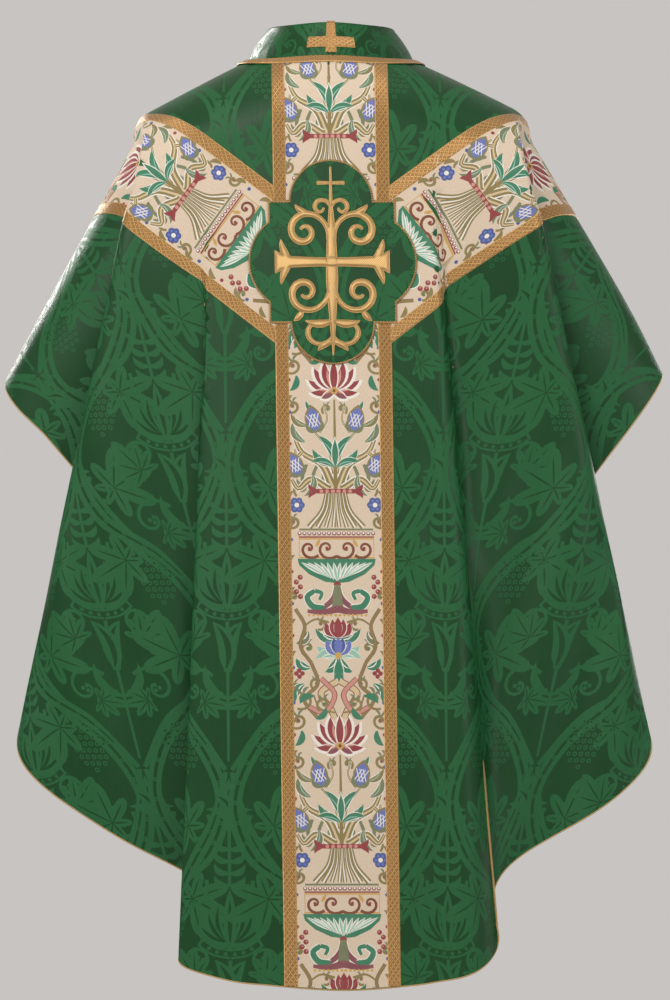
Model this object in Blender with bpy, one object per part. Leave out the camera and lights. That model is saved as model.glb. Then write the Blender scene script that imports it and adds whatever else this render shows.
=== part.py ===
"""A semi-Gothic chasuble hung from its shoulders: two green silk panels with linings, a cream
tapestry orphrey in a Y, gold braids, an embroidered medallion and a stand collar.

Metres, +Z up, the panel with the medallion facing -Y. The origin is the middle of the neck opening
at the height of the shoulder points of the neck. Every layer is drawn on one flat pattern, where
`a` runs outwards from the centre line and `b` runs down, and `drape` carries the pattern to the
hung shape. Stacked layers share one triangulation, so they stay parallel through each fold.
"""

from math import cos, pi, radians, sin, sqrt

import bpy
import numpy as np
from mathutils.geometry import delaunay_2d_cdt

# Flat pattern.
NECK_HALF = 0.117  # half width of the neck opening
NECK_DROP = {"back": 0.094, "front": 0.150}  # cut down from the shoulder line at the centre
WRIST = (0.622, 0.265)  # outer end of the shoulder seam
HEM = (
    (0.000, 1.313),
    (0.080, 1.308),
    (0.160, 1.297),
    (0.240, 1.270),
    (0.330, 1.220),
    (0.412, 1.163),
    (0.483, 1.118),
    (0.565, 1.055),
    (0.622, 0.985),
    (0.650, 0.880),
    (0.661, 0.740),
    (0.656, 0.580),
    (0.643, 0.450),
    WRIST,
)
HEM_POINTS = 30

# Shoulder line and the rounding from front to back.
SHOULDER_SLOPE = 0.547
SHOULDER_BLEND = 0.08
BODY_DEPTH = 0.11
SEAM_GAP = 0.0006  # each panel's distance from the seam plane

# Folds of the hung cloth, one set per side (-1 is the side at -X).
FOLDS = {
    -1: dict(
        peg=0.249, start=6.6, turn=33.0, roll=0.006,
        line=0.168, lean=0.004, below=0.25, rate=0.247, share=1.0, pleat_roll=0.006,
        crest=0.124, wave=0.120, ripple=0.004,
    ),
    +1: dict(
        peg=0.240, start=7.5, turn=31.0, roll=0.009,
        line=0.137, lean=-0.010, below=0.20, rate=0.400, share=0.54, pleat_roll=0.012,
        crest=0.185, wave=0.115, ripple=0.005,
    ),
}  # fmt: skip
CENTRE_SHIFT = -0.009
CENTRE_LEAN = 0.017
CENTRE_REACH = 0.30

# Orphrey, braids and medallion.
COLUMN_HALF = 0.0775
BRAID = 0.018
COLUMN_SPLIT = 0.352
ARM_STEP = 0.045
ARM_TOP = ((0.0785, 0.242), (0.246, 0.118), (0.292, 0.060))
ARM_BASE = ((0.0785, 0.452), (0.360, 0.236), (0.385, 0.190), (0.412, 0.110))
NECK_BRAID = 0.012
MEDALLION_AT = 0.345
LOBE_RADIUS = 0.055
LOBE_OUT = 0.080
SIDE_RADIUS = 0.065
SIDE_HALF = 0.053
SQUARE_HALF = (0.0835, 0.080)
CORD_RADIUS = 0.0015

# Collar.
COLLAR_HEIGHT = {"back": 0.047, "front": 0.036}
COLLAR_TAPER = (0.78, 0.80)
COLLAR_INSET = 0.0038
COLLAR_SINK = 0.0010
CROSS_BAR = 0.0150
CROSS_ARM = (0.033, 0.25, 0.58)

# Layers, measured outwards from the back face of the silk.
SHELL = (0.0, 0.0008)
LINING = (-0.0007, -0.0003)
ORPHREY = (0.0011, 0.0016)
BRAIDS = (0.0020, 0.0027)
OVER_BRAIDS = (0.0031, 0.0040)
EMBLEM = (0.0044, 0.0060)

COLUMN_ROWS = (0.02, 0.045, 0.07, 0.10, 0.135, 0.17, 0.205, 0.25, 0.33, 0.54, 0.78, 1.01, 1.20)
ROWS = (0.16, 0.24, 0.33, 0.43, 0.54, 0.66, 0.78, 0.90, 1.01, 1.11, 1.20, 1.27)
FOLD_STEPS = (0.0, 0.13, 0.30, 0.50, 0.70, 0.87, 1.0)


# ---------------------------------------------------------------- drape


def shoulder(a):
    """Height of the shoulder line, downwards, at a distance out from the centre."""
    start = sqrt(NECK_HALF**2 + SHOULDER_BLEND**2)
    return SHOULDER_SLOPE * (np.sqrt(a * a + SHOULDER_BLEND**2) - start)


def smooth(t):
    t = np.clip(t, 0, 1)
    return t * t * (3 - 2 * t)


def over_shoulder(d):
    """How far down and how far out the cloth is, at a distance d from the shoulder line."""
    quarter = BODY_DEPTH * pi / 2
    angle = np.clip(d / quarter, 0, 1) * pi / 2
    down = BODY_DEPTH * (1 - np.cos(angle)) + np.maximum(d - quarter, 0)
    return down, BODY_DEPTH * np.sin(angle)


def pleat(t, taken, turned):
    """Place across a pleat and share of its depth. `taken` is the cloth used, `turned` the S."""
    c = np.clip(t, 0, 1)
    place = (1 - taken) * c + turned * np.sin(2 * pi * c) / (2 * pi) + t - c
    return place, c - np.sin(4 * pi * c) / (4 * pi)


def pleat_width(b, fold):
    x = b - fold["below"]
    return fold["rate"] * (x + np.sqrt(x * x + 0.0025)) / 2


def drape(a, b, side, face):
    """The hung place of a flat point. `face` is -1 for the back panel and +1 for the front."""
    fold = FOLDS[side]
    down, out = over_shoulder(b - shoulder(a))
    b = shoulder(a) + down
    ripple = fold["ripple"] * np.cos(2 * pi * (a - fold["crest"]) / fold["wave"])
    ripple = ripple * smooth((a - 0.09) / 0.05) * smooth((b - 0.35) / 0.35)
    # The long pleat, across.
    width = pleat_width(b, fold)
    line = fold["line"] + fold["lean"] * b
    turned = fold["share"] * smooth((width - 0.015) / 0.06)
    place, step = pleat((a - line) / width, fold["share"] * smooth(width / 0.03), turned)
    sunk = np.sqrt(1.57 * fold["pleat_roll"] * width) * width / (width + 0.03) * step
    a = line + place * width
    # The fold that falls from the end of the shoulder support, turning round that point.
    peg = (fold["peg"], shoulder(fold["peg"]))
    reach = np.hypot(a - peg[0], b - peg[1])
    angle = np.arctan2(a - peg[0], b - peg[1])
    angle = np.where(angle < -0.9 * pi, angle + 2 * pi, angle)
    start, turn = radians(fold["start"]), radians(fold["turn"])
    taken = smooth(reach / 0.06)
    turned = smooth((reach - 0.04) / 0.15)
    place, step = pleat((angle - start) / turn, taken, turned)
    sunk = sunk + np.sqrt(1.57 * fold["roll"] * turn * reach) * smooth(reach / 0.05) * step
    angle = start + place * turn
    a = peg[0] + reach * np.sin(angle)
    b = peg[1] + reach * np.cos(angle)
    depth = out * (1 - np.minimum(sunk / BODY_DEPTH, 0.85)) + ripple + SEAM_GAP
    shift = (CENTRE_SHIFT + CENTRE_LEAN * b) * (1 - smooth(a / CENTRE_REACH))
    return np.stack([side * a + shift, face * depth, -b], axis=-1)


def drape_signed(points, face):
    """Hung places of flat points whose `a` is negative on the -X side."""
    points = np.asarray(points, float)
    a, b = points[:, 0], points[:, 1]
    left = drape(np.abs(a), b, -1, face)
    right = drape(np.abs(a), b, 1, face)
    centre = smooth((a + 0.004) / 0.008)[:, None]
    return left * (1 - centre) + right * centre


# ---------------------------------------------------------------- flat outlines


def hem_line(count):
    """The flat hem from the centre to the wrist, evenly spaced."""
    keys = np.array(HEM)
    along = np.append(0, np.cumsum(np.hypot(*np.diff(keys, axis=0).T)))
    slopes = np.gradient(keys, along, axis=0)
    slopes[0] = (1, 0)
    at = np.linspace(0, along[-1], count)
    i = np.clip(np.searchsorted(along, at) - 1, 0, len(keys) - 2)
    span = (along[i + 1] - along[i])[:, None]
    u = (at - along[i])[:, None] / span
    return (
        (2 * u**3 - 3 * u**2 + 1) * keys[i]
        + (u**3 - 2 * u**2 + u) * span * slopes[i]
        + (3 * u**2 - 2 * u**3) * keys[i + 1]
        + (u**3 - u**2) * span * slopes[i + 1]
    )


def neck_line(panel, extra, count):
    """The neckline from the centre to the shoulder, moved outwards by `extra`."""
    t = np.linspace(0, pi / 2, count)
    a = (NECK_HALF + extra) * np.sin(t)
    d = (NECK_DROP[panel] + extra) * np.cos(t)
    return np.stack([a, shoulder(a) + d], axis=1)


def both_sides(half):
    """A half outline that starts on the centre line, joined to its mirror image."""
    half = np.asarray(half, float)
    back = half[:0:-1] * (-1, 1)
    return np.concatenate([half, back[1:] if abs(half[-1][0]) < 1e-6 else back])


def panel_outline(panel):
    neck = neck_line(panel, 0, 9)[::-1]
    wrist = hem_line(HEM_POINTS)
    a = np.linspace(NECK_HALF, WRIST[0], 13)[1:-1]
    seam = np.stack([a, shoulder(a)], axis=1)
    wrist[-1, 1] = shoulder(wrist[-1, 0])
    right = np.concatenate([wrist[1:], seam[::-1], neck[:-1]])
    mirrored = right[::-1] * (-1, 1)
    return np.concatenate([wrist[:1], right, neck[-1:], mirrored])


def band(line, width, outward):
    """A strip beside a polyline, `width` to one side of it."""
    line = np.asarray(line, float)
    along = np.diff(line, axis=0)
    along /= np.hypot(*along.T)[:, None]
    across = np.stack([-along[:, 1], along[:, 0]], axis=1) * outward
    corner = np.concatenate([across[:1], across[:-1] + across[1:], across[-1:]])
    corner /= (corner * np.concatenate([across[:1], across])).sum(axis=1)[:, None]
    return np.concatenate([line, (line + corner * width)[::-1]])


def medallion_outline():
    """A quatrefoil whose side lobes are flatter, with the corners of a square between."""
    chord = sqrt(SIDE_RADIUS**2 - SIDE_HALF**2)
    square_a, square_b = SQUARE_HALF
    lobe = [
        (LOBE_RADIUS * sin(t), -LOBE_OUT - LOBE_RADIUS * cos(t))
        for t in np.linspace(0, pi / 2, 9)
    ]
    side_sweep = np.arcsin(SIDE_HALF / SIDE_RADIUS)
    bulge = [
        (square_a - chord + SIDE_RADIUS * cos(t), SIDE_RADIUS * sin(t))
        for t in np.linspace(-side_sweep, 0, 6)
    ]
    quarter = lobe + [(square_a, -square_b)] + bulge
    return both_sides(quarter + [(a, -b) for a, b in quarter[-2::-1]])


def divided(outline, step):
    """An outline with its long edges cut into equal pieces no longer than `step`."""
    outline = np.asarray(outline, float)
    found = []
    for start, end in zip(outline, np.roll(outline, -1, axis=0)):
        pieces = max(1, int(np.ceil(np.hypot(*(end - start)) / step)))
        found += [start + (end - start) * i / pieces for i in range(pieces)]
    return np.array(found)


def inside(points, outline):
    """Which points are inside a closed outline, by winding."""
    x, y = points[:, 0, None], points[:, 1, None]
    start, end = outline, np.roll(outline, -1, axis=0)
    up = (start[:, 1] <= y) & (end[:, 1] > y)
    down = (start[:, 1] > y) & (end[:, 1] <= y)
    turn = (end[:, 0] - start[:, 0]) * (y - start[:, 1]) - (x - start[:, 0]) * (
        end[:, 1] - start[:, 1]
    )
    return ((up & (turn > 0)).sum(axis=1) - (down & (turn < 0)).sum(axis=1)) != 0


def mirrored(outline):
    return np.asarray(outline)[::-1] * (-1, 1)


# ---------------------------------------------------------------- ornament


def ribbon(points, widths):
    """A stroke drawn as a closed outline, with its own half width at each point."""
    points = np.asarray(points, float)
    along = np.gradient(points, axis=0)
    along /= np.hypot(*along.T)[:, None]
    across = np.stack([-along[:, 1], along[:, 0]], axis=1) * np.asarray(widths)[:, None]
    return np.concatenate([points + across, (points - across)[::-1]])


def scroll(start, centre, turns, end_radius, steps, widths):
    """A spiral stroke from a start point winding in round a centre."""
    offset = np.subtract(start, centre)
    radius, first = np.hypot(*offset), np.arctan2(offset[1], offset[0])
    t = np.linspace(0, 1, steps)
    angle = first + 2 * pi * turns * t
    r = radius * (end_radius / radius) ** t
    points = np.stack([centre[0] + r * np.cos(angle), centre[1] + r * np.sin(angle)], axis=1)
    return ribbon(points, np.interp(t, (0, 0.35, 1), widths))


def leaf(root, tip, width, steps=5):
    """A pointed leaf from a root to a tip."""
    t = np.linspace(0, 1, steps)
    points = np.outer(1 - t, root) + np.outer(t, tip)
    return ribbon(points, width * np.sin(pi * np.clip(t * 0.92 + 0.08, 0, 1)) ** 0.8 + 0.0006)


def emblem_outlines():
    """A gold cross with a tapering staff, scrolls in its four corners and leaves at its foot."""
    staff = np.array([(0, -0.126), (0, -0.060), (0, -0.040), (0, 0.050), (0, 0.085), (0, 0.124)])
    shapes = [
        ribbon(staff, (0.0015, 0.0024, 0.0060, 0.0075, 0.0040, 0.0012)),
        ribbon([(-0.018, -0.105), (0, -0.105), (0.018, -0.105)], (0.0022, 0.0014, 0.0022)),
        ribbon(
            [(-0.076, 0), (-0.062, 0), (-0.020, 0), (0.020, 0), (0.062, 0), (0.076, 0)],
            (0.0150, 0.0075, 0.0055, 0.0055, 0.0075, 0.0150),
        ),
    ]
    half = [
        scroll((0.004, -0.030), (0.036, -0.040), 1.45, 0.006, 22, (0.0022, 0.0042, 0.0014)),
        scroll((0.004, 0.030), (0.036, 0.040), -1.45, 0.006, 22, (0.0022, 0.0042, 0.0014)),
        scroll((0.002, -0.062), (0.014, -0.072), 1.10, 0.004, 14, (0.0016, 0.0026, 0.0010)),
        scroll((0.002, 0.100), (0.020, 0.092), -0.75, 0.010, 12, (0.0014, 0.0030, 0.0012)),
        leaf((0.001, 0.078), (0.036, 0.078), 0.0045),
        leaf((0.000, 0.106), (0.020, 0.118), 0.0035),
        leaf((0.052, 0.002), (0.068, -0.030), 0.0040),
        leaf((0.052, -0.002), (0.068, 0.030), 0.0040),
    ]
    return shapes + half + [mirrored(shape) for shape in half]


# ---------------------------------------------------------------- triangulation


def triangulate(outlines, extra):
    """Flat points and triangles that follow every outline, with extra points between."""
    points, edges = [], []
    for outline in outlines:
        first = len(points)
        points.extend(map(tuple, outline))
        count = len(outline)
        edges.extend((first + i, first + (i + 1) % count) for i in range(count))
    points.extend(map(tuple, extra))
    made = delaunay_2d_cdt(points, edges, [], 0, 1e-5, False)
    flat = np.array([tuple(p) for p in made[0]])
    faces = np.array([tuple(face) for face in made[2]])
    one, two, three = flat[faces[:, 0]], flat[faces[:, 1]], flat[faces[:, 2]]
    area = np.cross(two - one, three - one)
    faces[area < 0] = faces[area < 0][:, ::-1]
    return flat, faces[np.abs(area) > 1e-9]


def fold_points(side):
    """Flat points along the folds of one side, so that each fold is drawn by the same steps."""
    fold = FOLDS[side]
    rows = np.array(ROWS)
    drop = rows - 0.063
    found = []
    for c in FOLD_STEPS:
        line = fold["line"] + fold["lean"] * drop + c * pleat_width(drop, fold)
        found += [(a, b) for a, b in zip(line, rows) if b > 0.4]
    start, turn = radians(fold["start"]), radians(fold["turn"])
    beyond = (fold["share"] * pleat_width(drop, fold)) * (drop > 0.1)
    for c in FOLD_STEPS + (1.35,):
        angle = start + c * turn
        for reach in (0.055, 0.11, 0.17, 0.24, 0.31, 0.40, 0.50, 0.61, 0.73, 0.85, 0.97):
            a = fold["peg"] + reach * sin(angle)
            b = shoulder(fold["peg"]) + reach * cos(angle)
            a += np.interp(b, drop, beyond)
            found.append((a, b + np.interp(b - shoulder(a), (0, 0.11), (0, 0.063))))
    found += [(0.125, b) for b in rows]
    found += [(0.175, b) for b in rows if b < 0.4]
    found += [(0.225, b) for b in rows if b < 0.3]
    found += [(0.02, b) for b in (0.7, 0.95, 1.2)]
    return [(side * a, b) for a, b in found]


def clear_points(points, outlines, distance):
    """The points that keep a distance from every outline's edges."""
    points = np.asarray(points, float)
    keep = np.ones(len(points), bool)
    for outline in outlines:
        start, along = outline, np.roll(outline, -1, axis=0) - outline
        t = ((points[:, None] - start) * along).sum(axis=2) / (along**2).sum(axis=1)
        near = start + np.clip(t, 0, 1)[:, :, None] * along
        gap = np.hypot(*np.moveaxis(points[:, None] - near, 2, 0)).min(axis=1)
        keep &= gap > distance
    spaced = []
    for point in points[keep]:
        if all(np.hypot(*(point - other)) > distance for other in spaced):
            spaced.append(point)
    return np.array(spaced)


def vertex_normals(points, faces):
    one, two, three = (points[faces[:, i]] for i in range(3))
    normal = np.cross(two - one, three - one)
    total = np.zeros_like(points)
    corners = (one, two, three)
    for i in range(3):
        p, q = corners[(i + 1) % 3] - corners[i], corners[(i + 2) % 3] - corners[i]
        lengths = np.linalg.norm(p, axis=1) * np.linalg.norm(q, axis=1)
        angle = np.arccos(np.clip((p * q).sum(axis=1) / lengths, -1, 1))
        unit = normal / np.linalg.norm(normal, axis=1)[:, None]
        np.add.at(total, faces[:, i], unit * angle[:, None])
    return total / np.linalg.norm(total, axis=1)[:, None]


# ---------------------------------------------------------------- solids and materials


def sheet_solid(name, points, normals, faces, layer, material):
    """A closed sheet between two distances along the normals."""
    used, index = np.unique(faces, return_inverse=True)
    faces = index.reshape(-1, 3)
    count = len(used)
    low = points[used] + normals[used] * layer[0]
    high = points[used] + normals[used] * layer[1]
    ends = np.concatenate([faces[:, [0, 1]], faces[:, [1, 2]], faces[:, [2, 0]]])
    pairs = {tuple(pair) for pair in ends.tolist()}
    rim = [(i, j) for i, j in pairs if (j, i) not in pairs]
    polygons = (faces + count).tolist() + faces[:, ::-1].tolist()
    polygons += [(i, j, j + count) for i, j in rim] + [(i, j + count, i + count) for i, j in rim]
    return add_mesh(name, np.concatenate([low, high]), polygons, material)


def add_mesh(name, vertices, polygons, material):
    mesh = bpy.data.meshes.new(name)
    mesh.from_pydata([tuple(v) for v in vertices], [], polygons)
    mesh.materials.append(material)
    obj = bpy.data.objects.new(name, mesh)
    bpy.context.scene.collection.objects.link(obj)
    return obj


def cloth_material(name, colour, roughness, metallic=0.0, sheen=0.3):
    material = bpy.data.materials.new(name)
    material.use_nodes = True
    shader = material.node_tree.nodes["Principled BSDF"]
    shader.inputs["Base Color"].default_value = (*colour, 1)
    shader.inputs["Roughness"].default_value = roughness
    shader.inputs["Metallic"].default_value = metallic
    shader.inputs["Sheen Weight"].default_value = sheen
    material.diffuse_color = (*colour, 1)
    return material


GREEN = (0.022, 0.120, 0.050)
GOLD_LINING = (0.360, 0.220, 0.070)
CREAM = (0.740, 0.620, 0.440)
BRAID_GOLD = (0.480, 0.210, 0.050)
THREAD_GOLD = (0.700, 0.460, 0.130)
CANVAS = (0.560, 0.520, 0.440)


def own(node, colour, roughness, metallic=0.0, sheen=0.3):
    return cloth_material(node + "_material", colour, roughness, metallic, sheen)


def green(node):
    return own(node, GREEN, 0.42, sheen=0.4)


def lining(node):
    return own(node, GOLD_LINING, 0.38)


def tapestry(node):
    return own(node, CREAM, 0.75)


def braid(node):
    return own(node, BRAID_GOLD, 0.40, 0.55, 0.1)


# ---------------------------------------------------------------- panels


def arm_regions():
    """Outlines on the +X side: the arm's tapestry and its two braids."""
    top, base = np.array(ARM_TOP), np.array(ARM_BASE)
    arm = np.concatenate([top, base[::-1]])
    strips = (band(top, BRAID, 1), band(base, BRAID, -1))
    return divided(arm, ARM_STEP), *(divided(trimmed(strip), ARM_STEP) for strip in strips)


def trimmed(strip):
    """A braid strip kept clear of the column beside it."""
    strip = strip.copy()
    strip[:, 0] = np.maximum(strip[:, 0], ARM_TOP[0][0])
    return strip


def upright(left, right, top, bottom):
    """An upright strip whose long edges are cut at every row of the drape."""
    rows = [top] + [row for row in COLUMN_ROWS if top < row < bottom] + [bottom]
    return np.array([(right, b) for b in rows] + [(left, b) for b in rows[::-1]])


def column_regions(panel):
    """Outlines down the centre: tapestry pieces, and braids on the +X side."""
    top, low = -0.05, HEM[0][1] + 0.05
    edge, inner = COLUMN_HALF, COLUMN_HALF - BRAID
    if panel == "front":
        pieces = {"column": upright(-edge, edge, top, low)}
        return pieces, {"braid_column": upright(inner, edge, top, low)}
    above, below = COLUMN_SPLIT - 0.0006, COLUMN_SPLIT + 0.0006
    pieces = {
        "column_upper": upright(-edge, edge, top, above),
        "column_lower": upright(-edge, edge, below, low),
    }
    braids = {
        "braid_upper": upright(inner, edge, top, above),
        "braid_lower": upright(inner, edge, below, low),
    }
    return pieces, braids


def neck_region(panel):
    """Outline of the neck braid's outer edge, closed above the shoulders."""
    outer = neck_line(panel, NECK_BRAID, 9)
    return both_sides(np.concatenate([outer, [(NECK_HALF + NECK_BRAID, -0.05)]]))


def build_panel(panel):
    face = -1 if panel == "back" else 1
    outline = panel_outline(panel)
    pieces, braids = column_regions(panel)
    arm, arm_top, arm_base = arm_regions()
    regions = {panel + "_" + key: value for key, value in pieces.items()}
    strips = {panel + "_" + key: value for key, value in braids.items()}
    strips[panel + "_braid_arm_top"] = arm_top
    strips[panel + "_braid_arm_base"] = arm_base
    neck_ring = neck_region(panel)
    medallion = medallion_outline() + (0, MEDALLION_AT)
    outlines = [outline, *regions.values(), arm, mirrored(arm), neck_ring]
    outlines += [shape for strip in strips.values() for shape in (strip, mirrored(strip))]
    if panel == "back":
        outlines.append(medallion)
    extra = clear_points(fold_points(-1) + fold_points(1), outlines, 0.012)
    flat, faces = triangulate(outlines, extra)
    centre = flat[faces].mean(axis=1)
    kept = inside(centre, outline)
    faces, centre = faces[kept], centre[kept]
    points = drape_signed(flat, face)
    # Flat triangles turn anticlockwise with `b` down, so the hung ones face the front.
    if face < 0:
        outer_faces = faces[:, ::-1]
    else:
        outer_faces = faces
    normals = np.zeros_like(points)
    used = np.unique(faces)
    remap = np.zeros(len(flat), int)
    remap[used] = np.arange(len(used))
    normals[used] = vertex_normals(points[used], remap[outer_faces])

    def solid(name, region, layer, material):
        chosen = outer_faces if region is None else outer_faces[inside(centre, region)]
        sheet_solid(name, points, normals, chosen, layer, material)

    solid(panel + "_shell", None, SHELL, green(panel + "_shell"))
    solid(panel + "_lining", None, LINING, lining(panel + "_lining"))
    for name, region in regions.items():
        solid(name, region, ORPHREY, tapestry(name))
    for suffix, flip in (("_right", False), ("_left", True)):
        name = panel + "_arm" + suffix
        solid(name, mirrored(arm) if flip else arm, ORPHREY, tapestry(name))
        for key, strip in strips.items():
            solid(key + suffix, mirrored(strip) if flip else strip, BRAIDS, braid(key + suffix))
    solid("neck_braid_" + panel, neck_ring, OVER_BRAIDS, braid("neck_braid_" + panel))
    if panel == "back":
        solid("medallion_ground", medallion, OVER_BRAIDS, green("medallion_ground"))


# ---------------------------------------------------------------- medallion


def build_cord():
    """A gold cord laid round the edge of the medallion."""
    outline = medallion_outline() + (0, MEDALLION_AT)
    inset = 0.9 * CORD_RADIUS
    path = band(np.concatenate([outline, outline[:2]]), inset, 1)
    path = path[len(outline) + 2 :][::-1][1:-1]
    centre = drape_signed(path, -1) + (0, -OVER_BRAIDS[1] - 0.0003 - CORD_RADIUS, 0)
    along = np.roll(centre, -1, axis=0) - np.roll(centre, 1, axis=0)
    along /= np.linalg.norm(along, axis=1)[:, None]
    out = np.array((0.0, -1.0, 0.0))
    across = np.cross(along, out)
    across /= np.linalg.norm(across, axis=1)[:, None]
    sides, count = 6, len(centre)
    vertices = []
    for k in range(sides):
        angle = 2 * pi * k / sides
        vertices.append(centre + CORD_RADIUS * (cos(angle) * across + sin(angle) * out))
    vertices = np.concatenate(vertices)
    polygons = []
    for k in range(sides):
        for i in range(count):
            j, m = (i + 1) % count, (k + 1) % sides
            one, two = k * count + i, k * count + j
            three, four = m * count + j, m * count + i
            polygons += [(one, two, three), (one, three, four)]
    obj = add_mesh("medallion_cord", vertices, polygons, own("medallion_cord", THREAD_GOLD, 0.35, 0.7))
    if signed_volume(vertices, polygons) < 0:
        obj.data.flip_normals()


def signed_volume(vertices, polygons):
    corners = vertices[np.array(polygons)]
    return np.linalg.det(corners).sum() / 6


def build_emblem():
    """The gold-work, a little proud of the medallion."""
    outlines = emblem_outlines()
    flat, faces = triangulate(outlines, [])
    centre = flat[faces].mean(axis=1)
    kept = np.zeros(len(faces), bool)
    for outline in outlines:
        kept |= inside(centre, np.asarray(outline))
    faces = faces[kept][:, ::-1]
    points = drape_signed(flat + (0, MEDALLION_AT), -1)
    normals = np.tile((0.0, -1.0, 0.0), (len(points), 1))
    material = own("medallion_emblem", THREAD_GOLD, 0.38, 0.7)
    sheet_solid("medallion_emblem", points, normals, faces, EMBLEM, material)


# ---------------------------------------------------------------- collar


def collar_surface():
    """Rings of the collar, from the neck seam to its top edge, back centre first."""
    marks = np.array([0, CROSS_BAR / 2, CROSS_ARM[0]]) / NECK_HALF
    back = collar_foot("back", np.concatenate([marks, np.linspace(0.42, pi / 2, 7)]), -1)
    front = collar_foot("front", np.linspace(0, pi / 2, 9)[:-1], 1)
    right = np.concatenate([back[0], front[0][::-1]])
    left = np.concatenate([back[1], front[1][::-1]])
    base = np.concatenate([right, left[-2:0:-1]])
    middle = (base[:, 0].mean(), 0, 0)
    weight = smooth((NECK_HALF - base[:, 1]) / (2 * NECK_HALF))
    height = COLLAR_HEIGHT["front"] + weight * (COLLAR_HEIGHT["back"] - COLLAR_HEIGHT["front"])
    rings = []
    for s in (0.0, CROSS_ARM[1], CROSS_ARM[2], 0.80, 1.0):
        scale = 1 + (np.array(COLLAR_TAPER) - 1) * s**1.4
        ring = (base - middle) * (*scale, 1) + middle
        ring[:, 2] += height * s - COLLAR_SINK
        rings.append(ring)
    return np.array(rings)


def collar_foot(panel, angle, face):
    """Points of the collar's foot, just inside the neckline, for +X and then for -X."""
    a = (NECK_HALF - COLLAR_INSET) * np.sin(angle)
    d = (NECK_DROP[panel] - COLLAR_INSET) * np.cos(angle)
    flat = np.stack([a, shoulder(a) + d], axis=1)
    return [drape(a, flat[:, 1], side, face) for side in (1, -1)]


def build_collar():
    rings = collar_surface()
    levels, around = rings.shape[:2]
    points = rings.reshape(-1, 3)
    faces, cross = [], []
    cross_half = 2
    for s in range(levels - 1):
        for i in range(around):
            j = (i + 1) % around
            one, two = s * around + i, s * around + j
            three, four = two + around, one + around
            pair = [(one, two, three), (one, three, four)]
            faces += pair
            step = min(i, around - 1 - i)
            if step == 0 or (step < cross_half and s == 1):
                cross += pair
    faces = np.array(faces)
    normals = vertex_normals(points, faces)
    out = points * (1, 1, 0) - (0, 0.01, 0)
    if (normals * out).sum() < 0:
        faces, normals = faces[:, ::-1], -normals
        cross = [face[::-1] for face in cross]
    layers = (
        ("collar_outer", (0.0, 0.0008), green("collar_outer"), faces),
        ("collar_core", (-0.0015, -0.0003), own("collar_core", CANVAS, 0.8), faces),
        ("collar_inner", (-0.0024, -0.0018), lining("collar_inner"), faces),
        ("collar_cross", (0.0012, 0.0020), braid("collar_cross"), np.array(cross)),
    )
    for name, layer, material, chosen in layers:
        sheet_solid(name, points, normals, chosen, layer, material)


for thing in list(bpy.data.objects):
    bpy.data.objects.remove(thing)
build_panel("back")
build_panel("front")
build_cord()
build_emblem()
build_collar()
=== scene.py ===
"""Looks of a hung semi-Gothic chasuble: green silk damask, a cream tapestry orphrey in a Y, gold
galloon, an embroidered quatrefoil medallion and a stand collar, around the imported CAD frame.

Metres, +Z up, the medallion facing -Y. Every cloth is drawn flat, where `a` runs outwards from the
centre line and `b` runs down, and `drape` hangs it with the same folds as the CAD panels. Patterns
are outlines in the flat cloth: a triangulation follows them, and each face takes its colour.
"""

from math import cos, pi, radians, sin, sqrt

import bpy
import numpy as np
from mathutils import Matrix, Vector
from mathutils.geometry import delaunay_2d_cdt


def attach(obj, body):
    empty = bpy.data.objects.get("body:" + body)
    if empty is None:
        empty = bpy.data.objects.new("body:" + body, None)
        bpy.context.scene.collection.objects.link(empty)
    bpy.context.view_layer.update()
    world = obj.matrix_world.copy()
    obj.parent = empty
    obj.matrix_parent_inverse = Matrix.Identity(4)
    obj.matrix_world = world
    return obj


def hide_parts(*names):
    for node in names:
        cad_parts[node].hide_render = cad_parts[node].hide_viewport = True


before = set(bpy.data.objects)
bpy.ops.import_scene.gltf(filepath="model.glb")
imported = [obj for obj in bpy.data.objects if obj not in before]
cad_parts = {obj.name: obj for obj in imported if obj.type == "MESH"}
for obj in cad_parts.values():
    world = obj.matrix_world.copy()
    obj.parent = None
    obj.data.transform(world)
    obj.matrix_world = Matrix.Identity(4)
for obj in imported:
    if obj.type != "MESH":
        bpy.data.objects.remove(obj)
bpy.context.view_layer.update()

# Flat pattern, as in the CAD part.
NECK_HALF = 0.117
NECK_DROP = {"back": 0.094, "front": 0.150}
WRIST = (0.622, 0.265)
HEM = (
    (0.000, 1.313),
    (0.080, 1.308),
    (0.160, 1.297),
    (0.240, 1.270),
    (0.330, 1.220),
    (0.412, 1.163),
    (0.483, 1.118),
    (0.565, 1.055),
    (0.622, 0.985),
    (0.650, 0.880),
    (0.661, 0.740),
    (0.656, 0.580),
    (0.643, 0.450),
    WRIST,
)
SHOULDER_SLOPE = 0.547
SHOULDER_BLEND = 0.08
BODY_DEPTH = 0.11
SEAM_GAP = 0.0006
FOLDS = {
    -1: dict(
        peg=0.249, start=6.6, turn=33.0, roll=0.006,
        line=0.168, lean=0.004, below=0.25, rate=0.247, share=1.0, pleat_roll=0.006,
        crest=0.124, wave=0.120, ripple=0.004,
    ),
    +1: dict(
        peg=0.240, start=7.5, turn=31.0, roll=0.009,
        line=0.137, lean=-0.010, below=0.20, rate=0.400, share=0.54, pleat_roll=0.012,
        crest=0.185, wave=0.115, ripple=0.005,
    ),
}  # fmt: skip
CENTRE_SHIFT = -0.009
CENTRE_LEAN = 0.017
CENTRE_REACH = 0.30

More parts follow.
